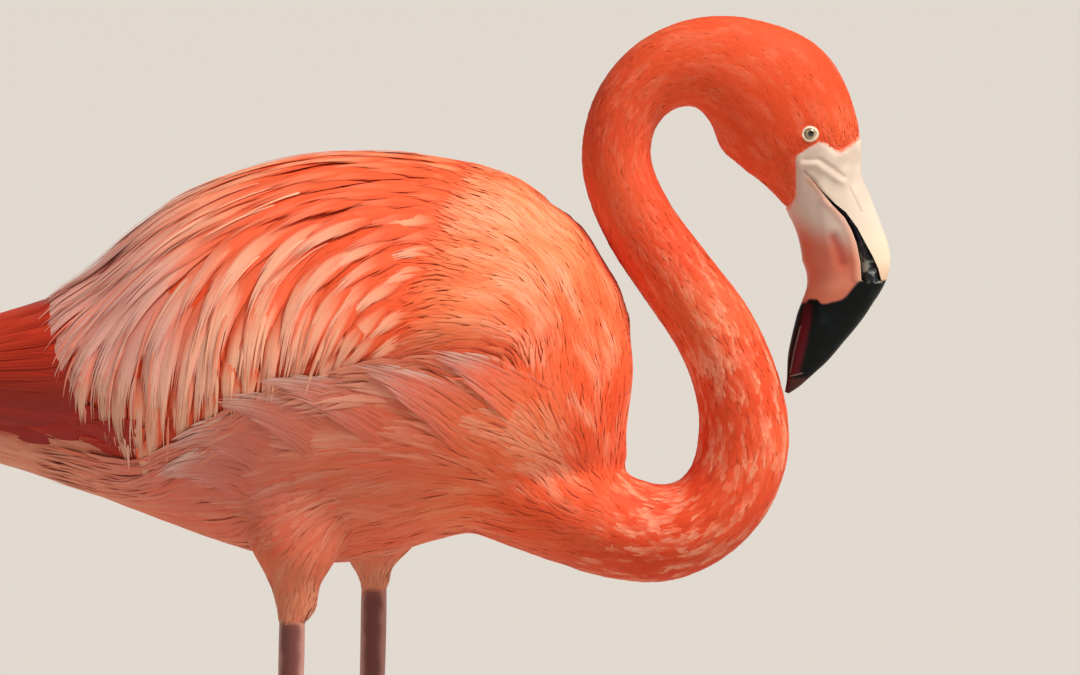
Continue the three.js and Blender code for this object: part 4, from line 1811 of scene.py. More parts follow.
        # The roots stand closer at the front, where little but roots lies.
        roots, normals = self.surface.scatter(lambda p: 8.0 + 3.2 * smooth(90, 10, p[:, 0] / MM), keep, rng)
        ahead = cape_front(roots[:, 2] / MM) - roots[:, 0] / MM
        wanted = 42 + 68 * smooth(0, 80, ahead) * rng.uniform(0.9, 1.1, len(roots))
        turn = rng.normal(0, HABITS[Layer.CAPE].stray, len(roots))
        steps = 16
        way = over_surface(self.surface, roots, normals, cape_lie, wanted, steps, turn)
        # A plume ends a little past the cape's edge, and short ones are left out.
        run = np.cumprod(inside(*side_view(way.points), CAPE_OUTLINE), axis=1).sum(1) / steps
        kept = run * wanted > 22
        way, wanted, run, ahead = way.chosen(kept), wanted[kept], run[kept], ahead[kept]
        share = np.clip(run + rng.uniform(-0.06, 0.03, len(run)), 0.2, 1.0)
        way = way.at(np.linspace(0, 1, HABITS[Layer.CAPE].rows)[None] * share[:, None])
        size = wanted * share
        rear = smooth(-50, -90, way.points[:, 0, 0] / MM)
        order = (rng.uniform(0, 1, way.count) * (1 - 0.4 * rear))[:, None]
        young = (0.45 + 0.55 * smooth(0, 45, ahead))[:, None]

        def height(f: Array) -> Array:
            """Roots stand in the skin, and plumes lie in layers over one another."""
            rise = 2.2 * smooth(-0.02, 0.32, f) + 1.6 * order * np.clip((f - 0.06) / 0.7, 0, 1)
            return -0.6 + young * rise + 0.012 * size[:, None] * f

        width = np.clip(3.2 + size * 0.030, 3.8, 6.6)
        made = self.dress(Layer.CAPE, "cape", way, width, height, self.cape_tint(way))
        return made + self.wisps(way, size) + self.flank_lobes()

    def cape_tint(self, way: Way) -> Tint:
        """Pale vanes with flame-coloured seams between them.

        Args:
            way: the plumes' paths.
        Returns:
            Their colours.
        """
        rng, c, n = self.rng, self.palette, way.count
        lean = rng.uniform(-0.30, 0.30, n)[:, None]
        depth = rng.uniform(0.75, 1.0, n)[:, None]
        glow = (0.95 + 0.10 * rng.random(n))[:, None, None]
        barbs = rng.uniform(0, 50, n)[:, None]
        warm = (rng.random(n) < 0.7)[:, None]

        def chance(f: Array, across: float, along: float, seed: int) -> Array:
            """Noise from -0.5 to 0.5 that differs from plume to plume."""
            at = np.stack([barbs + 0 * f, across + 0 * f, along * f], -1) * MM
            return noise(at, 1.0, seed) - 0.5

        def colour(f: Array, a: float) -> Array:
            """Pale with a hot root and hot edges, hotter on the back and paler at the rear."""
            x, z = side_view(resampled(way.points, f))
            deep = cape_top(x) - z
            rear = smooth(-50, -105, x) * smooth(640, 680, z)
            high, front = smooth(52, 8, deep), smooth(-30, 85, x)
            pale = layered(
                c.peach,
                (c.shell, 0.75 * smooth(0.2, 0.8, f)),
                (c.mauve, 0.75 * rear),
                (c.buff, 0.40 * (1 - smooth(622, 662, z))),
                (c.apricot, np.clip(0.15 + 0.50 * front + 0.45 * high * smooth(-130, -50, x), 0, 0.85)),
                (c.coral, 0.22 * smooth(-90, -20, x)),
            )
            edge = smooth(0.38, 0.92, np.abs(a + lean))
            base = 1 - smooth(0.15, 0.55, f + 0.25 * chance(f, a * 3, 0, 5))
            red = np.clip(depth * edge + 0.95 * base, 0, 1)
            red = np.clip(red + 0.50 * high * (0.35 + 0.65 * front) * (0.3 + base), 0, 1)
            band = smooth(6, 20, deep) * (1 - smooth(48, 74, deep)) * smooth(-100, -40, x)
            red = np.clip(red * (1 - 0.45 * smooth(0.55, 1.0, f)) + 0.75 * warm * band, 0, 1)
            red = np.clip(red * (1 - 0.65 * rear) + 0.10 * chance(f, a * 9, 2, 6), 0, 1)
            return mix(pale, mix(c.flame, c.coral, 0.35), red * 0.88) * glow

        return colour

    def wisps(self, way: Way, size: Array) -> list[Object]:
        """Loose pale barbs that lie on top of the plumes, one on each but the foremost.

        Args:
            way: the plumes' paths.
            size: their lengths, in millimetres.
        Returns:
            The objects.
        """
        rng = self.rng
        behind = np.flatnonzero(way.points[:, 0, 0] < 0.016)
        way, size = way.chosen(behind), size[behind]
        n = way.count
        side = unit(np.cross(way.heads, way.normals))
        shift = rng.uniform(-8, 8, n)[:, None, None] * MM
        way = Way(way.points + side * shift, way.heads, way.normals)
        begin = rng.uniform(0.15, 0.5, n)[:, None]
        end = rng.uniform(0.75, 0.97, n)[:, None]
        way = way.at(begin + (end - begin) * np.linspace(0, 1, 10)[None])
        top = rng.uniform(2.6, 4.0, n)[:, None] + 0.014 * size[:, None]
        x, z = side_view(way.points[:, 5])
        pale = mix(self.palette.peach, self.palette.mauve, 0.5 * smooth(-60, -130, x))
        warm = rng.random(n) < 0.30 + 0.35 * smooth(44, 6, cape_top(x) - z)
        tone = mix(pale, self.palette.coral, 0.5 * warm)

        def colour(f: Array, a: float) -> Array:
            """One tone for each barb."""
            return np.broadcast_to(tone[:, None], (*f.shape, 3))

        return self.dress(Layer.WISP, "cape_wisps", way, rng.uniform(0.5, 1.0, n),
                          lambda f: 1.0 + (top - 1.0) * f**0.5, colour)

    # ---- wing, tail and undertail

    def coverts(self) -> list[Object]:
        """The scarlet feathers of the folded wing that show behind and below the plumes."""
        rng = self.rng

        def keep(p: Array, n: Array) -> Array:
            """The rear of the wing, up to a little under the plumes' edge."""
            x, z = side_view(p)
            return (x < -84) & (z > 632 - 0.10 * (x + 100)) & (cape_depth(p) < 14)

        def back(p: Array, n: Array) -> Array:
            """Straight back, and hardly down."""
            return square_to(np.array([-1.0, 0.0, -0.03]), n)

        roots, normals = self.surface.scatter(lambda p: np.full(len(p), 8.6), keep, rng)
        length = rng.uniform(38, 52, len(roots))
        turn = rng.normal(0, HABITS[Layer.COVERT].stray, len(roots))
        way = over_surface(self.surface, roots, normals, back, length, 9, turn)
        order = rng.uniform(0, 1, len(roots))[:, None]

        height = rising(-0.6, 2.2 + 0.8 * order, 0.6)
        width = np.full(way.count, 6.5)
        return self.dress(Layer.COVERT, "wing_coverts", way, width, height, self.red_tint(way, 0.0))

    def red_tint(self, way: Way, dark: float) -> Tint:
        """Scarlet, painted deeper towards the bird's underside as painted shade, and coral on top as painted
        light.

        Args:
            way: the feathers' paths.
            dark: how much of the shaded scarlet, as painted shade, there is all over.
        Returns:
            Their colours.
        """
        c = self.palette
        chance = self.rng.random(way.count)[:, None]

        def colour(f: Array, a: float) -> Array:
            """Painted shade and light: shaded scarlet below and coral above, with one edge of the feather
            painted darker as shade.
            """
            z = resampled(way.points, f)[..., 2] / MM
            low = 1 - smooth(640, 682, z)
            tone = mix(c.scarlet, c.scarlet_in_shade, np.clip(0.85 * low + dark, 0, 1)) * (0.86 + 0.14 * a)
            tone = mix(tone, c.coral, 0.45 * smooth(664, 690, z) * smooth(0.2, 0.8, f))
            return mix(tone, c.flame, 0.30 * chance * smooth(0.5, 1.0, f)) * (0.9 + 0.2 * chance)[..., None]

        return colour

    def tertials(self) -> list[Object]:
        """The broad red inner wing feathers, from under the plumes to near the tail's end."""
        k = np.arange(15)
        way = both_wings(0.9, 5.25 - 0.045 * k - 0.25 * (k % 2), 6 + 8.6 * k, 0.18, 16, 1.2)
        order = np.tile(2.4 - 0.12 * k, 2)[:, None]
        height = rising(-1.0, 1.0 + order, low=0.05, high=0.4)
        width = np.full(way.count, 8.4)
        return self.dress(Layer.TERTIAL, "inner_quills", way, width, height, self.red_tint(way, 0.05))

    def primaries(self) -> list[Object]:
        """The black wing tips under the tertials."""
        k = np.arange(6)
        way = both_wings(4.0, 5.96 - 0.16 * k, 66 + 9 * k, 0.35, 14, 2.2)
        order = np.tile(0.35 * k, 2)[:, None]

        def colour(f: Array, a: float) -> Array:
            """Black, with one edge a little paler."""
            return np.broadcast_to(self.palette.black * (1.25 if a > 0.5 else 1.0), (*f.shape, 3))

        # Each lies under the one above it.
        width, height = np.full(way.count, 5.2), rising(0.1 - order, 0.0)
        return self.dress(Layer.PRIMARY, "black_quills", way, width, height, colour)

    def tail(self) -> list[Object]:
        """The short tail: a flat fan of feathers that overlap from the middle outwards."""
        count = 12
        k = np.arange(count) - (count - 1) / 2
        s = np.linspace(0, 1, 12)[None]
        spread = np.radians(k * 2.9)[:, None]
        reach = (100 - 0.32 * k**2)[:, None] * s
        root = np.array([-152.0, 0.0, 641.5])
        x = root[0] - reach * np.cos(spread)
        y = k[:, None] * 1.5 + reach * np.sin(spread)
        z = root[2] - 9.0 * s - 0.010 * y**2 - 0.20 * np.abs(k)[:, None] + 0 * x
        p = np.stack([x, y, z], -1) * MM
        heads = unit(np.gradient(p, axis=1))
        way = Way(p, heads, square_to(np.array([0.0, 0.0, 1.0]), heads))
        c = self.palette

        def colour(f: Array, a: float) -> Array:
            """Pale peach, palest at the tip's edges."""
            tone = mix(c.coral, c.scarlet, 0.15 * (1 - smooth(0.3, 0.9, f)))
            return mix(tone, c.peach, 0.65 + 0.20 * smooth(0.5, 1.0, f) * (0.4 + 0.6 * abs(a)))

        return self.dress(Layer.TAIL, "tail_fan", way, np.full(count, 6.6), lambda f: 0 * f, colour)


# Lines of the bare face and the bill in the side view.
UPPER_FOLD = [(230, 766.6), (236, 762.4), (241.5, 758)]
MOUTH_CREASE = [(222, 760.6), (226.5, 756.8), (230.5, 751.2), (235.7, 745.0)]
CHEEK_HOLLOW = [(237, 728), (239.5, 722), (241, 716)]
LIP_HOLLOW = [(236.5, 728), (239.5, 722), (241, 716)]
NOSTRIL = [(244.6, 752.2), (248.0, 745.6), (250.2, 740.6)]
HORN_EDGE = curve([
    (200, 694), (222.8, 694.6), (224.6, 697.8), (228.6, 697.6), (231.6, 695.0), (236.7, 696.4),
    (241.9, 698.0), (245.0, 702.0), (249.6, 707.6), (254.0, 707.0), (260.6, 706.4), (290, 707.2),
])
# The dark red window in the black horn, and the pale lines at its foot, its rear and the bill's bend.
WINDOW = [
    (222.4, 695.5), (228.0, 694.5), (226.8, 686.0), (223.0, 667.0), (221.4, 661.2), (215.6, 660.0),
    (217.9, 672.4), (220.9, 686.2),
]
TIP_LINE = [(215.6, 659.4), (221.6, 660.9)]
REAR_LINE = [(220.6, 684.0), (217.6, 672.0), (215.7, 661.0)]
BEND_LINE = [(249.6, 707.2), (254.6, 706.4), (260.2, 705.6)]


@dataclass
class Bill:
    """The bent bill and the bare face, with the comb of plates in the mouth.

    In the side view, `rim` is the lower half's edge at the gap, `lip` the upper half's, and `seam` the
    line where both meet towards the tip.
    """

    start: float = 17.2  # where on the spine the bare face begins, under the coat
    rim: tuple = ((225.0, 757.5), (230.5, 750.8), (235.7, 744.4), (242.0, 737.8), (245.4, 731.7),
                  (247.9, 725.1), (249.7, 716.1), (250.3, 707.0))
    lip: tuple = ((225.2, 757.9), (230.8, 751.2), (236.4, 745.6), (242.6, 740.6), (248.2, 733.0),
                  (252.4, 725.1), (256.0, 718.5), (258.6, 712.7), (260.2, 706.6))
    seam: tuple = ((260.2, 706.6), (256.0, 694.0), (247.6, 681.0), (236.4, 668.6), (224.6, 658.4),
                   (216.4, 652.3))

    def section(self, t: Array, up: Array) -> Array:
        """A keeled lower half and a narrow ridge above.

        Args:
            t: places on the spine.
            up: heights in the section, from -1 to 1.
        Returns:
            What the half-width is multiplied by.
        """
        horn = smooth(19.0, 21.0, t)
        ridge = 1 - 0.10 * horn * smooth(0.2, 1.0, up)
        return ridge * (1 + 0.07 * horn * np.exp(-(((up + 0.35) / 0.35) ** 2)))

    def inset(self, t: Array) -> Array:
        """The bare face lies just under the coat's own surface."""
        return 0.35 - 0.45 * smooth(18.2, 19.3, t) + 3.0 * (1 - smooth(17.2, 17.5, t))

    def solid(self) -> Object:
        """The bill before it is painted."""
        shape = SPINE.loft(self.start, SPINE.last - 0.02, 420, 184, self.inset, self.section)
        obj = link("bill", Shape(self.folded(shape.verts), shape.faces).mesh("bill"))
        gap = [*self.rim, (253.0, 705.2), (257.6, 705.2), *reversed(self.lip)]
        upper = [(x + 0.16, z + 0.1) for x, z in self.seam]
        lower = [(x - 0.16, z - 0.1) for x, z in reversed(self.seam)]
        for outline in (gap, upper + lower):
            united(obj, self.wedge(outline), Join.CUT)
        return obj

    def wedge(self, outline: Line) -> Object:
        """A flat cutter through the bill.

        Args:
            outline: its corners in the side view.
        Returns:
            The cutter.
        """
        n = len(outline)
        verts = [(x * MM, y, z * MM) for y in (-0.05, 0.05) for x, z in outline]
        faces = [tuple(range(n)), tuple(range(2 * n - 1, n - 1, -1))]
        faces += [(i, i + n, (i + 1) % n + n, (i + 1) % n) for i in range(n)]
        return link("wedge", Shape(np.array(verts), faces).mesh("wedge"), False)

    def folded(self, p: Array) -> Array:
        """Raises the folds of the bare face and the relief of the horn.

        Args:
            p: the bill's points, in metres.
        Returns:
            The points moved.
        """
        x, z = side_view(p)
        out = np.stack([np.zeros(len(p)), np.sign(p[:, 1]), np.zeros(len(p))], -1)
        flat = smooth(1.0, 6.0, np.abs(p[:, 1]) / MM)
        # Each fold or groove: its height and half-width in millimetres, and its line.
        lift = np.zeros(len(p))
        for tall, width, line in (
            (0.85, 1.9, [(221, 764), (228, 764), (234, 760), (238, 757.2), (241, 755.6)]),
            (0.55, 1.5, [(219.5, 762), (224, 759), (228.5, 753.5), (232, 748.8)]),
            (-0.5, 1.1, [(222, 766.5), *UPPER_FOLD]),
            (-0.75, 0.8, MOUTH_CREASE),
            (0.6, 1.8, [(231, 747), (237, 741.5), (242, 735), (245.6, 727), (247.4, 716), (247.6, 708)]),
            (-0.9, 3.2, CHEEK_HOLLOW),
            (-0.25, 2.5, [(228, 742), (230, 730), (231, 718)]),
        ):
            lift += tall * near_line(x, z, line, width)
        lift += 0.16 * (noise(p, 5.0, 21) - 0.5) * smooth(700, 745, z)
        lift -= 0.25 * near_line(x, z, NOSTRIL, 0.55)
        p = p + out * (lift * flat)[:, None] * MM
        # Past its edge the bare skin sinks under the feathers.
        t = BodyMap().on_spine(p)[0]
        centre = SPINE.frame(t)[0]
        gap = on_face(p)
        sink = 1.5 * (1 - smooth(-1.4, 0.0, gap)) + 0.6 * (1 - smooth(0.0, 3.5, gap))
        sink = sink * smooth(722, 732, p[:, 2] / MM)
        return p + unit(centre - p) * sink[:, None] * MM

    def colours(self, p: Array) -> Array:
        """The painted colours of face and bill.

        Args:
            p: the bill's points, in metres.
        Returns:
            (n, 3) linear colours.
        """
        x, z = side_view(p)
        crease = [(200.0, 776.0), (213.0, 768.0), (219.0, 762.5), *self.rim]
        lower = [*crease, (256, 700), (256, 640), (200, 640)]
        below = smooth(-0.5, 0.5, np.where(inside(x, z, lower), 1, -1) * polyline_gap(x, z, crease))
        # Painted shade in part: the lower half's salmon and pale tones are darkened for the shade on its
        # downward face, and the red along the lip's hollow is partly its own red and partly painted shade.
        low = layered(
            linear("#d2b8aa"),
            ("#cc6a50", smooth(738, 722, z + (x - 230) * 0.35)),
            ("#e3a488", 0.75 * near_line(x, z, self.rim, 2.6)),
            ("#ab3f30", 0.8 * near_line(x, z, LIP_HOLLOW, 2.6)),
            ("#dd8a6c", 0.5 * near_line(x, z, [(224, 700), (232, 704), (243, 706)], 4)),
        )
        c = layered(
            linear("#e9d5c2"),
            ("#f0dcc0", smooth(740, 715, z)),
            ("#cbb0a2", 0.55 * smooth(0.35, 0.75, noise(p, 5, 31)) * smooth(738, 762, z)),
            ("#c9a99b", 0.45 * smooth(235, 222, x) * smooth(742, 758, z)),
            ("#f0b795", 0.55 * smooth(718, 709, z) * smooth(252, 262, x)),
            (low, below),
            # Painted shade: the crease at the mouth's corner, the fold above it and the nostril's slit are
            # painted darker.
            ("#9a7568", 0.55 * near_line(x, z, MOUTH_CREASE, 0.8)),
            ("#b99d8c", 0.5 * near_line(x, z, UPPER_FOLD, 1.1)),
            ("#8d7768", 0.35 * near_line(x, z, NOSTRIL, 0.45)),
            # The feathers' edge thins out over the skin.
            ("#f26a42", 0.85 * (1 - smooth(-0.2, 1.7, on_face(p) + 1.5 * (noise(p, 1.3, 33) - 0.5)))
             * smooth(722, 732, z)),
        )
        wine = inside(x, z, WINDOW) * smooth(0.0, 0.6, polyline_gap(x, z, WINDOW + WINDOW[:1]))
        wine = wine * smooth(0.0, 2.6, polyline_gap(x, z, WINDOW[1:5]))
        black = layered(
            linear("#080c0c"),
            ("#15201f", 0.6 * smooth(0.5, 0.9, noise(p, 6, 43))),
            ("#5e121b", 0.92 * wine * (0.35 + 0.65 * smooth(696, 680, z))),
            ("#c08a80", 0.65 * near_line(x, z, TIP_LINE, 0.25)),
            ("#6a3a33", 0.5 * smooth(659.4, 657.5, z)),
            ("#98a2a6", 0.5 * near_line(x, z, REAR_LINE, 0.25)),
            ("#e8d5bd", 0.8 * near_line(x, z, BEND_LINE, 0.30)),
        )
        wave = 0.8 * (noise(p, 2.4, 41) - 0.5)
        tip = inside(x + wave, z + wave, HORN_EDGE + [(290, 630), (200, 630)])
        soft = smooth(-0.75, 0.55, np.where(tip, 1, -1) * polyline_gap(x + wave, z + wave, HORN_EDGE))
        return mix(c, black, soft)

    def mouth(self) -> list[Object]:
        """The dark tongue-like core seen in the gap, and the comb of fine plates round it."""
        # x, z and radius of the core's sections, from the corner of the mouth towards the tip.
        core = [(232.5, 748.6, 0.5), (238.2, 743.0, 1.4), (244.6, 736.6, 2.2), (249.0, 729.0, 2.8),
                (252.2, 720.5, 3.6), (254.4, 712.5, 4.6), (255.6, 704.6, 5.2)]
        run = Run([(x, z, r, r, 8.8 - 0.25 * i) for i, (x, z, r) in enumerate(core)])
        obj = link("mouth", run.loft(0, run.last, 60, 40).mesh("mouth"))
        finish = WetMouth().build()
        obj.data.materials.append(finish)
        t = np.linspace(0.6, run.last - 0.1, 56)
        centre, tangent, _, reach = run.frame(t)
        proud, flat = 0.12 * MM, np.zeros(len(t))
        girth = np.stack([(reach[:, 0] + reach[:, 1]) / 2 + proud, reach[:, 2] + proud, flat + 1], -1)
        turn = np.stack([flat, np.arctan2(tangent[:, 0], tangent[:, 2]), flat], -1)
        return [obj, PlateRow("mouth_comb", 359.0, 0.17, 0.03, 28).build(centre, girth, turn, finish)]

    def build(self) -> list[Object]:
        """Makes the bill's objects."""
        obj = self.solid()
        data = obj.data
        smooth_shaded(data)
        data.set_sharp_from_angle(angle=math.radians(38))
        colours = self.colours(points_of(data))
        paint(data, colours)
        data.materials.clear()
        for finish in (PALE_HORN, BLACK_HORN):
            data.materials.append(finish.build())
        dark = colours.sum(1) < 0.25
        index = np.array([int(all(dark[i] for i in f.vertices)) for f in data.polygons], np.int32)
        data.polygons.foreach_set("material_index", index)
        return [obj]


@dataclass
class Eye:
    """One eyeball with its pupil and iris, and the pale ring of bare skin round it."""

    side: float  # 1 for the left eye and -1 for the right
    radius: float = 5.0

    @property
    def name(self) -> str:
        """The side in words."""
        return "left" if self.side > 0 else "right"

    def ball(self) -> Object:
        """The eyeball, painted round its gaze."""
        work = bmesh.new()
        bmesh.ops.create_uvsphere(work, u_segments=96, v_segments=64, radius=self.radius * MM)
        data = bpy.data.meshes.new("eyeball")
        work.to_mesh(data)
        work.free()
        p = points_of(data)
        gaze = unit(np.array([0.10, self.side, 0.02]))
        out = p / (self.radius * MM)
        off = np.degrees(np.arccos(np.clip(out @ gaze, -1, 1)))
        iris = mix(linear("#c2ad84"), linear("#8d7a5c"), smooth(0.35, 0.75, noise(out * 0.02 + 1, 1.4, 51)))
        tint = mix(linear("#0a0908"), iris, smooth(16.0, 18.0, off))
        tint = mix(tint, linear("#5c4a37"), smooth(30.5, 34.0, off))
        bulge = 0.35 * (1 - smooth(20, 38, off))
        p = p * (1 + (bulge / self.radius)[:, None])
        centre = EYE * np.array([1, self.side, 1]) * MM
        data.vertices.foreach_set("co", (p + centre).astype(np.float32).ravel())
        paint(data, tint)
        data.materials.append(CORNEA.build())
        return link(f"eyeball_{self.name}", data)

    def ring(self) -> Object:
        """The pale bare ring: a soft rim with an upper and a lower lid."""
        n, m = 96, 20  # points round the eye, and round the rim's own section
        turn, profile = turns(n), turns(m)
        wide = 2.85 + 0.22 * np.cos(turn) ** 2
        tall = 2.65 - 0.15 * np.abs(np.sin(turn))
        beads = 0.85 * (1 + 0.05 * np.sin(turn * 26))
        centre = EYE * np.array([1, self.side, 1])
        rings = np.zeros((n, m, 3))
        for k in range(n):
            out = unit(np.array([math.cos(turn[k]), 0, math.sin(turn[k])]))
            lid = np.array([math.cos(turn[k]) * wide[k], 0, math.sin(turn[k]) * tall[k]])
            depth = math.sqrt(max(self.radius**2 - lid[0] ** 2 - lid[2] ** 2, 0.1))
            for i, a in enumerate(profile):
                q = lid + out * (math.cos(a) * beads[k] + 0.60)
                rise = depth + 0.05 + 0.50 * math.sin(a) - 0.5 * max(math.cos(a), 0)
                rings[k, i] = q + np.array([0, self.side * rise, 0]) + centre
        verts = rings.reshape(-1, 3) * MM
        faces = [(k * m + i, (k + 1) % n * m + i, (k + 1) % n * m + (i + 1) % m, k * m + (i + 1) % m)
                 for k in range(n) for i in range(m)]
        obj = link(f"eye_ring_{self.name}", Shape(verts, faces).mesh(f"eye_ring_{self.name}"))
        x, z = side_view(points_of(obj.data))
        off = np.hypot(x - EYE[0], z - EYE[2])
        rim = mix(linear("#7c5a48"), linear("#f1dcc2"), smooth(2.5, 3.0, off))
        paint(obj.data, mix(rim, linear("#e8a88a"), 0.6 * smooth(3.9, 4.4, off)))
        obj.data.materials.append(LID.build())
        return obj


@dataclass
class PlateRow:
    """Curved plates set along a line by Geometry Nodes, as the scales of a leg or the plates of a mouth.

    Each plate is an arc round the line, of one turn of `sweep` degrees, with an oval section.
    """

    name: str
    sweep: float
    half_height: float  # in millimetres
    half_thick: float  # as a share of the arc's radius
    steps: int = 12

    def tree(self, material: Material) -> NodeTree:
        """Arcs with an oval section, turned and scaled as each point says.

        Args:
            material: the plates' finish.
        Returns:
            The node tree.
        """
        tree = bpy.data.node_groups.new(self.name, "GeometryNodeTree")
        face = tree.interface
        face.new_socket("Geometry", in_out="INPUT", socket_type="NodeSocketGeometry")
        for label in ("Sweep", "Half height", "Half thickness"):
            face.new_socket(label, in_out="INPUT", socket_type="NodeSocketFloat")
        face.new_socket("Geometry", in_out="OUTPUT", socket_type="NodeSocketGeometry")
        add = partial(add_node, tree)
        given = add("NodeGroupInput")
        half = add("ShaderNodeMath", {0: given.outputs["Sweep"], 1: -0.5}, operation="MULTIPLY")
        arc = add("GeometryNodeCurveArc", {
            "Resolution": self.steps, "Radius": 1.0, "Start Angle": half.outputs[0],
            "Sweep Angle": given.outputs["Sweep"],
        })
        oval = add("GeometryNodeCurvePrimitiveCircle", {"Resolution": 8, "Radius": 1.0})
        size = add("ShaderNodeCombineXYZ", {
            "X": given.outputs["Half thickness"], "Y": given.outputs["Half height"], "Z": 1.0,
        })
        section = add("GeometryNodeTransform", {"Geometry": oval.outputs["Curve"], "Scale": size.outputs[0]})
        plate = add("GeometryNodeCurveToMesh", {
            "Curve": arc.outputs["Curve"], "Profile Curve": section.outputs[0], "Fill Caps": True,
        })
        girth, turn = (
            add("GeometryNodeInputNamedAttribute", {"Name": name}, data_type="FLOAT_VECTOR")
            for name in ("girth", "turn")
        )
        spin = add("FunctionNodeEulerToRotation", {0: turn.outputs["Attribute"]})
        placed = add("GeometryNodeInstanceOnPoints", {
            "Points": given.outputs["Geometry"], "Instance": plate.outputs[0],
            "Rotation": spin.outputs[0], "Scale": girth.outputs["Attribute"],
        })
        real = add("GeometryNodeRealizeInstances", {"Geometry": placed.outputs[0]})
        dressed = add("GeometryNodeSetMaterial", {"Geometry": real.outputs[0], "Material": material})
        add("NodeGroupOutput", {"Geometry": dressed.outputs[0]})
        return tree

    def build(self, points: Array, girth: Array, turn: Array, material: Material) -> Object:
        """Sets the plates out.

        Args:
            points: (n, 3) their middles, in metres.
            girth: (n, 3) the arc's two radii in metres, and 1.
            turn: (n, 3) each plate's turns about X, Y and Z.
            material: their finish.
        Returns:
            The plates as one plain mesh.
        """
        data = bpy.data.meshes.new(self.name)
        data.from_pydata(points.tolist(), [], [])
        for label, value in (("girth", girth), ("turn", turn)):
            layer = data.attributes.new(label, "FLOAT_VECTOR", "POINT")
            layer.data.foreach_set("vector", value.astype(np.float32).ravel())
        obj = link(self.name, data, False)
        modifier = obj.modifiers.new("plates", "NODES")
        modifier.node_group = self.tree(material)
        wanted = {
            "Sweep": math.radians(self.sweep),
            "Half height": self.half_height * MM,
            "Half thickness": self.half_thick,
        }
        for socket in modifier.node_group.interface.items_tree:
            if socket.item_type == "SOCKET" and socket.name in wanted:
                modifier[socket.identifier] = wanted[socket.name]
        smooth_shaded(baked(obj).data)
        return obj


@dataclass
class LegTrim:
    """The scales down one leg's front and over its toes, and its claws."""

    leg: Leg
    pitch: float = 4.1

    def shin(self) -> Object:
        """Plates down the front of the bare leg below the ankle."""
        leg = self.leg
        run = Run(leg.rows())
        v = run.values(np.linspace(0, run.last, 900))
        wanted = np.arange(24.0, 318.0, self.pitch)
        near = np.abs(v[:, 1][None] - wanted[:, None]).argmin(1)
        x, z, front, _, wide = v[near].T
        points = np.stack([x + leg.x, np.full(len(x), leg.y), z], -1) * MM
        girth = np.stack([(front + 0.10) * MM, (wide + 0.10) * MM, np.ones(len(x))], -1)
        turn = np.tile([0.0, math.radians(3.0), 0.0], (len(x), 1))
        row = PlateRow(f"shin_scales_{leg.side}", 168.0, self.pitch * 0.54, 0.028, 16)
        return row.build(points, girth, turn, LEG_SCALES.build())

    def toes(self) -> Object:
        """Plates over the tops of the front toes."""
        leg, step = self.leg, 2.6
        points, girth, turn = [], [], []
        for length, bend, root, tip in leg.front_toes():
            s = np.arange(14.0, length - 3, step) / length
            radius, height = leg.toe_profile(s, root, tip)
            a = bend + leg.heading()
            x, y = leg.x + s * length * math.cos(a), leg.y + s * length * math.sin(a)
            points.append(np.stack([x, y, height], -1))
            girth.append(np.stack([(radius + 0.08) * MM, (radius + 0.08) * MM, np.ones(len(s))], -1))
            turn.append(np.tile([0.0, -math.pi / 2, a], (len(s), 1)))
        row = PlateRow(f"toe_scales_{leg.side}", 130.0, step * 0.47, 0.045, 8)
        return row.build(np.vstack(points) * MM, np.vstack(girth), np.vstack(turn), LEG_SCALES.build())

    def claw(self, name: str, start: float, length: float, radius: float, turn: float,
             drop: float) -> Object:
        """One claw: a short curved horn.

        Args:
            name: which claw.
            start: where it begins, in millimetres from the foot's joint along the toe.
            length: how far it reaches; below 0 it points back.
            radius: its half-width at the root.
            turn: the toe's turn.
            drop: the height of its root above the floor.
        Returns:
            The claw.
        """
        s, angle = np.linspace(0, 1, 18), turns(16)
        size = radius * (1 - s) ** 0.62 + 0.18
        p = np.zeros((18, 16, 3))
        p[..., 0] = (start + length * s)[:, None]
        p[..., 1] = size[:, None] * 0.82 * np.sin(angle)
        arch = drop + 0.7 * np.sin(np.pi * s) - (drop - 0.55) * s**1.6
        p[..., 2] = np.maximum(arch[:, None] + size[:, None] * np.cos(angle), 0.06)
        shape = self.leg.placed(Shape.tube(p * MM), turn)
        obj = link(f"claw_{name}_{self.leg.side}_horn", shape.mesh("claw"))
        obj.data.materials.append(CLAW_HORN.build())
        return obj

    def claws(self) -> dict[str, Object]:
        """The four claws by name."""
        spread, out = self.leg.spread, math.copysign(1.0, self.leg.y)
        return {
            "middle": self.claw("middle", 82.5, 9.6, 2.5, 0.0, 2.6),
            "outer": self.claw("outer", 70.5, 9.2, 2.3, out * spread, 2.4),
            "inner": self.claw("inner", 70.5, 9.2, 2.3, -out * spread, 2.4),
            "hind": self.claw("hind", -20.0, -6.0, 1.7, 0.0, 3.0),
        }


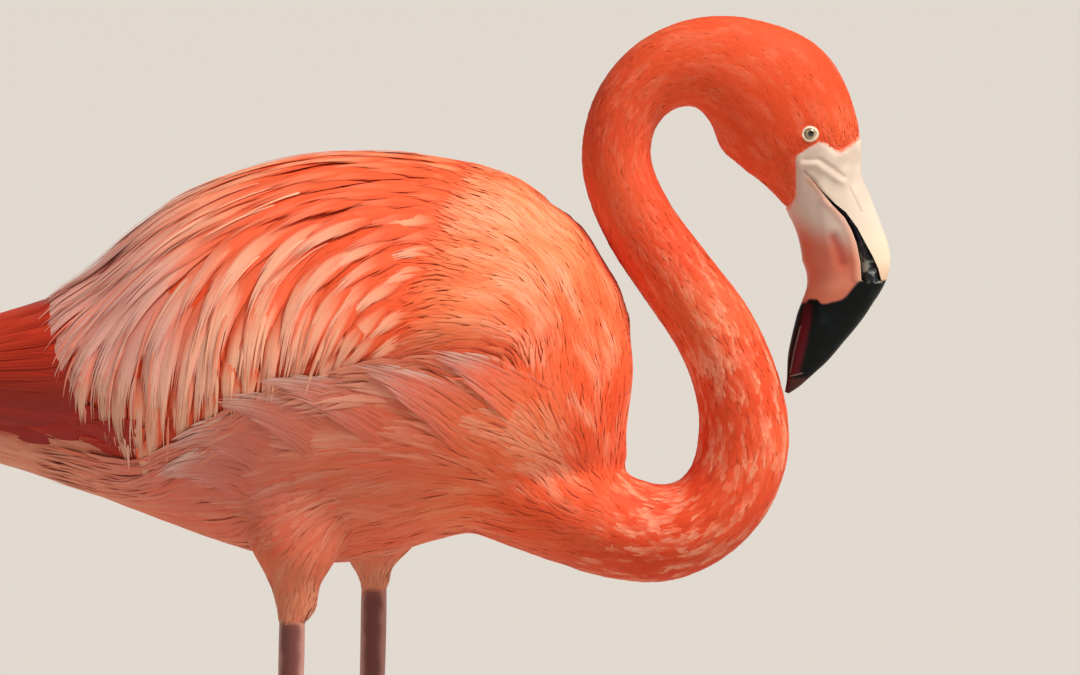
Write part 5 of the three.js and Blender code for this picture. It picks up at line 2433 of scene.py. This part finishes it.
def main() -> None:
    """Builds the bird, the studio and the camera in order."""
    logging.basicConfig(level=logging.INFO, format="%(name)s: %(message)s", force=True)
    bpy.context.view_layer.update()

    def keep(pieces: list[Object], slot: str, *nodes: str) -> None:
        """Fixes pieces to the bird's one body, in place of CAD nodes."""
        for piece in pieces:
            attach(piece, "root")
            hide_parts(*nodes)
            log.info("%s: %d faces", piece.name, len(piece.data.polygons))

    def both(*names: str) -> list[str]:
        """The right and left nodes of these names."""
        return [f"{name}_{side}" for name in names for side in ("right", "left")]

    body_map, palette = BodyMap(), Palette()
    skin = Skin(body_map, palette)
    neck = ["head", "neck_base", "neck_loop", "neck_rise", "neck_upper", "neck_nape"]
    limbs = both("thigh", "tibia", "hock", "tarsus", "foot", "hind_toe")
    keep([skin.build()], "plumage_coral", "trunk", *neck, *limbs)
    coat = Coat(skin, body_map, palette)
    keep(coat.velvet(), "plumage_coral", *neck)
    keep(coat.body(), "plumage_coral", "trunk", *both("thigh"))
    keep(coat.plumes(), "plumage_pale", *both("scapulars"))
    keep(coat.coverts(), "plumage_scarlet", *both("wing"))
    keep(coat.tertials(), "plumage_scarlet", *both("tertials"))
    keep(coat.primaries(), "plumage_black", *both("primaries"))
    keep(coat.tail(), "plumage_pale", "tail")
    bill = Bill()
    keep(bill.build(), "bill_ivory", "bill_upper", "bill_lower")
    keep(bill.mouth(), "bill_pink", "bill_lower")
    for eye in (Eye(1.0), Eye(-1.0)):
        keep([eye.ball(), eye.ring()], "eye", f"eye_{eye.name}")
    for side, (x, y, _, end) in LEGS.items():
        trim = LegTrim(Leg(side, x, y, end))
        keep([trim.shin()], "leg_skin", f"tarsus_{side}", f"tibia_{side}")
        keep([trim.toes()], "leg_skin", f"foot_{side}")
        for which, claw in trim.claws().items():
            keep([claw], "claw", f"claw_{which}_{side}")
    studio()


def studio() -> None:
    """Floor, light and camera."""
    scene = bpy.context.scene
    scene.view_settings.view_transform = "Standard"
    data = bpy.data.meshes.new("floor")
    data.from_pydata([(-90, -90, 0), (90, -90, 0), (90, 90, 0), (-90, 90, 0)], [], [(0, 1, 2, 3)])
    # Matt painted board: takes a soft shadow and gives no reflection.
    data.materials.append(Graph.new("floor_paint").close({"Base Color": rgba("#cfcac4"), "Roughness": 0.9}))
    link("floor", data, False)
    scene.world = bpy.data.worlds.new("studio")
    g = Graph(scene.world)
    # A band over the horizon as pale as the floor, so that no line shows where the floor ends.
    up = g.add("SeparateXYZ", {"Vector": g.add("TexCoord").outputs["Generated"]}).outputs["Z"]
    ends = {"From Min": 0.012, "From Max": 0.05, "To Min": 1.0, "To Max": 0.0}
    band = g.add("MapRange", {"Value": up, **ends}, interpolation_type="SMOOTHSTEP").outputs["Result"]
    sky = tuple(0.24 * v for v in linear("#f2f4f8")) + (1.0,)
    tone = g.add("MixRGB", {"Fac": band, "Color1": sky, "Color2": rgba("#e2dacf")}).outputs["Color"]
    g.add("OutputWorld", {"Surface": g.add("Background", {"Color": tone}).outputs["Background"]})
    sun = bpy.data.lights.new("key", "SUN")
    sun.energy, sun.angle, sun.color = 4.0, math.radians(24), (1.0, 0.96, 0.9)
    lamp = bpy.data.objects.new("key", sun)
    lamp.rotation_mode = "QUATERNION"
    lamp.rotation_quaternion = Vector((0.62, -0.40, 1.0)).to_track_quat("Z", "Y")
    scene.collection.objects.link(lamp)
    view = bpy.data.cameras.new("camera")
    view.lens, view.sensor_width, view.clip_end = 408.0, 36.0, 500.0
    camera = bpy.data.objects.new("camera", view)
    scene.collection.objects.link(camera)
    target, elevation, far = Vector((0.0931, 0.0, 0.678)), math.radians(5), 6.0
    back = Vector((0, -math.cos(elevation), math.sin(elevation)))
    camera.location = target + back * far
    camera.rotation_mode = "QUATERNION"
    camera.rotation_quaternion = back.to_track_quat("Z", "Y")
    scene.camera = camera


if __name__ == "__main__":
    main()
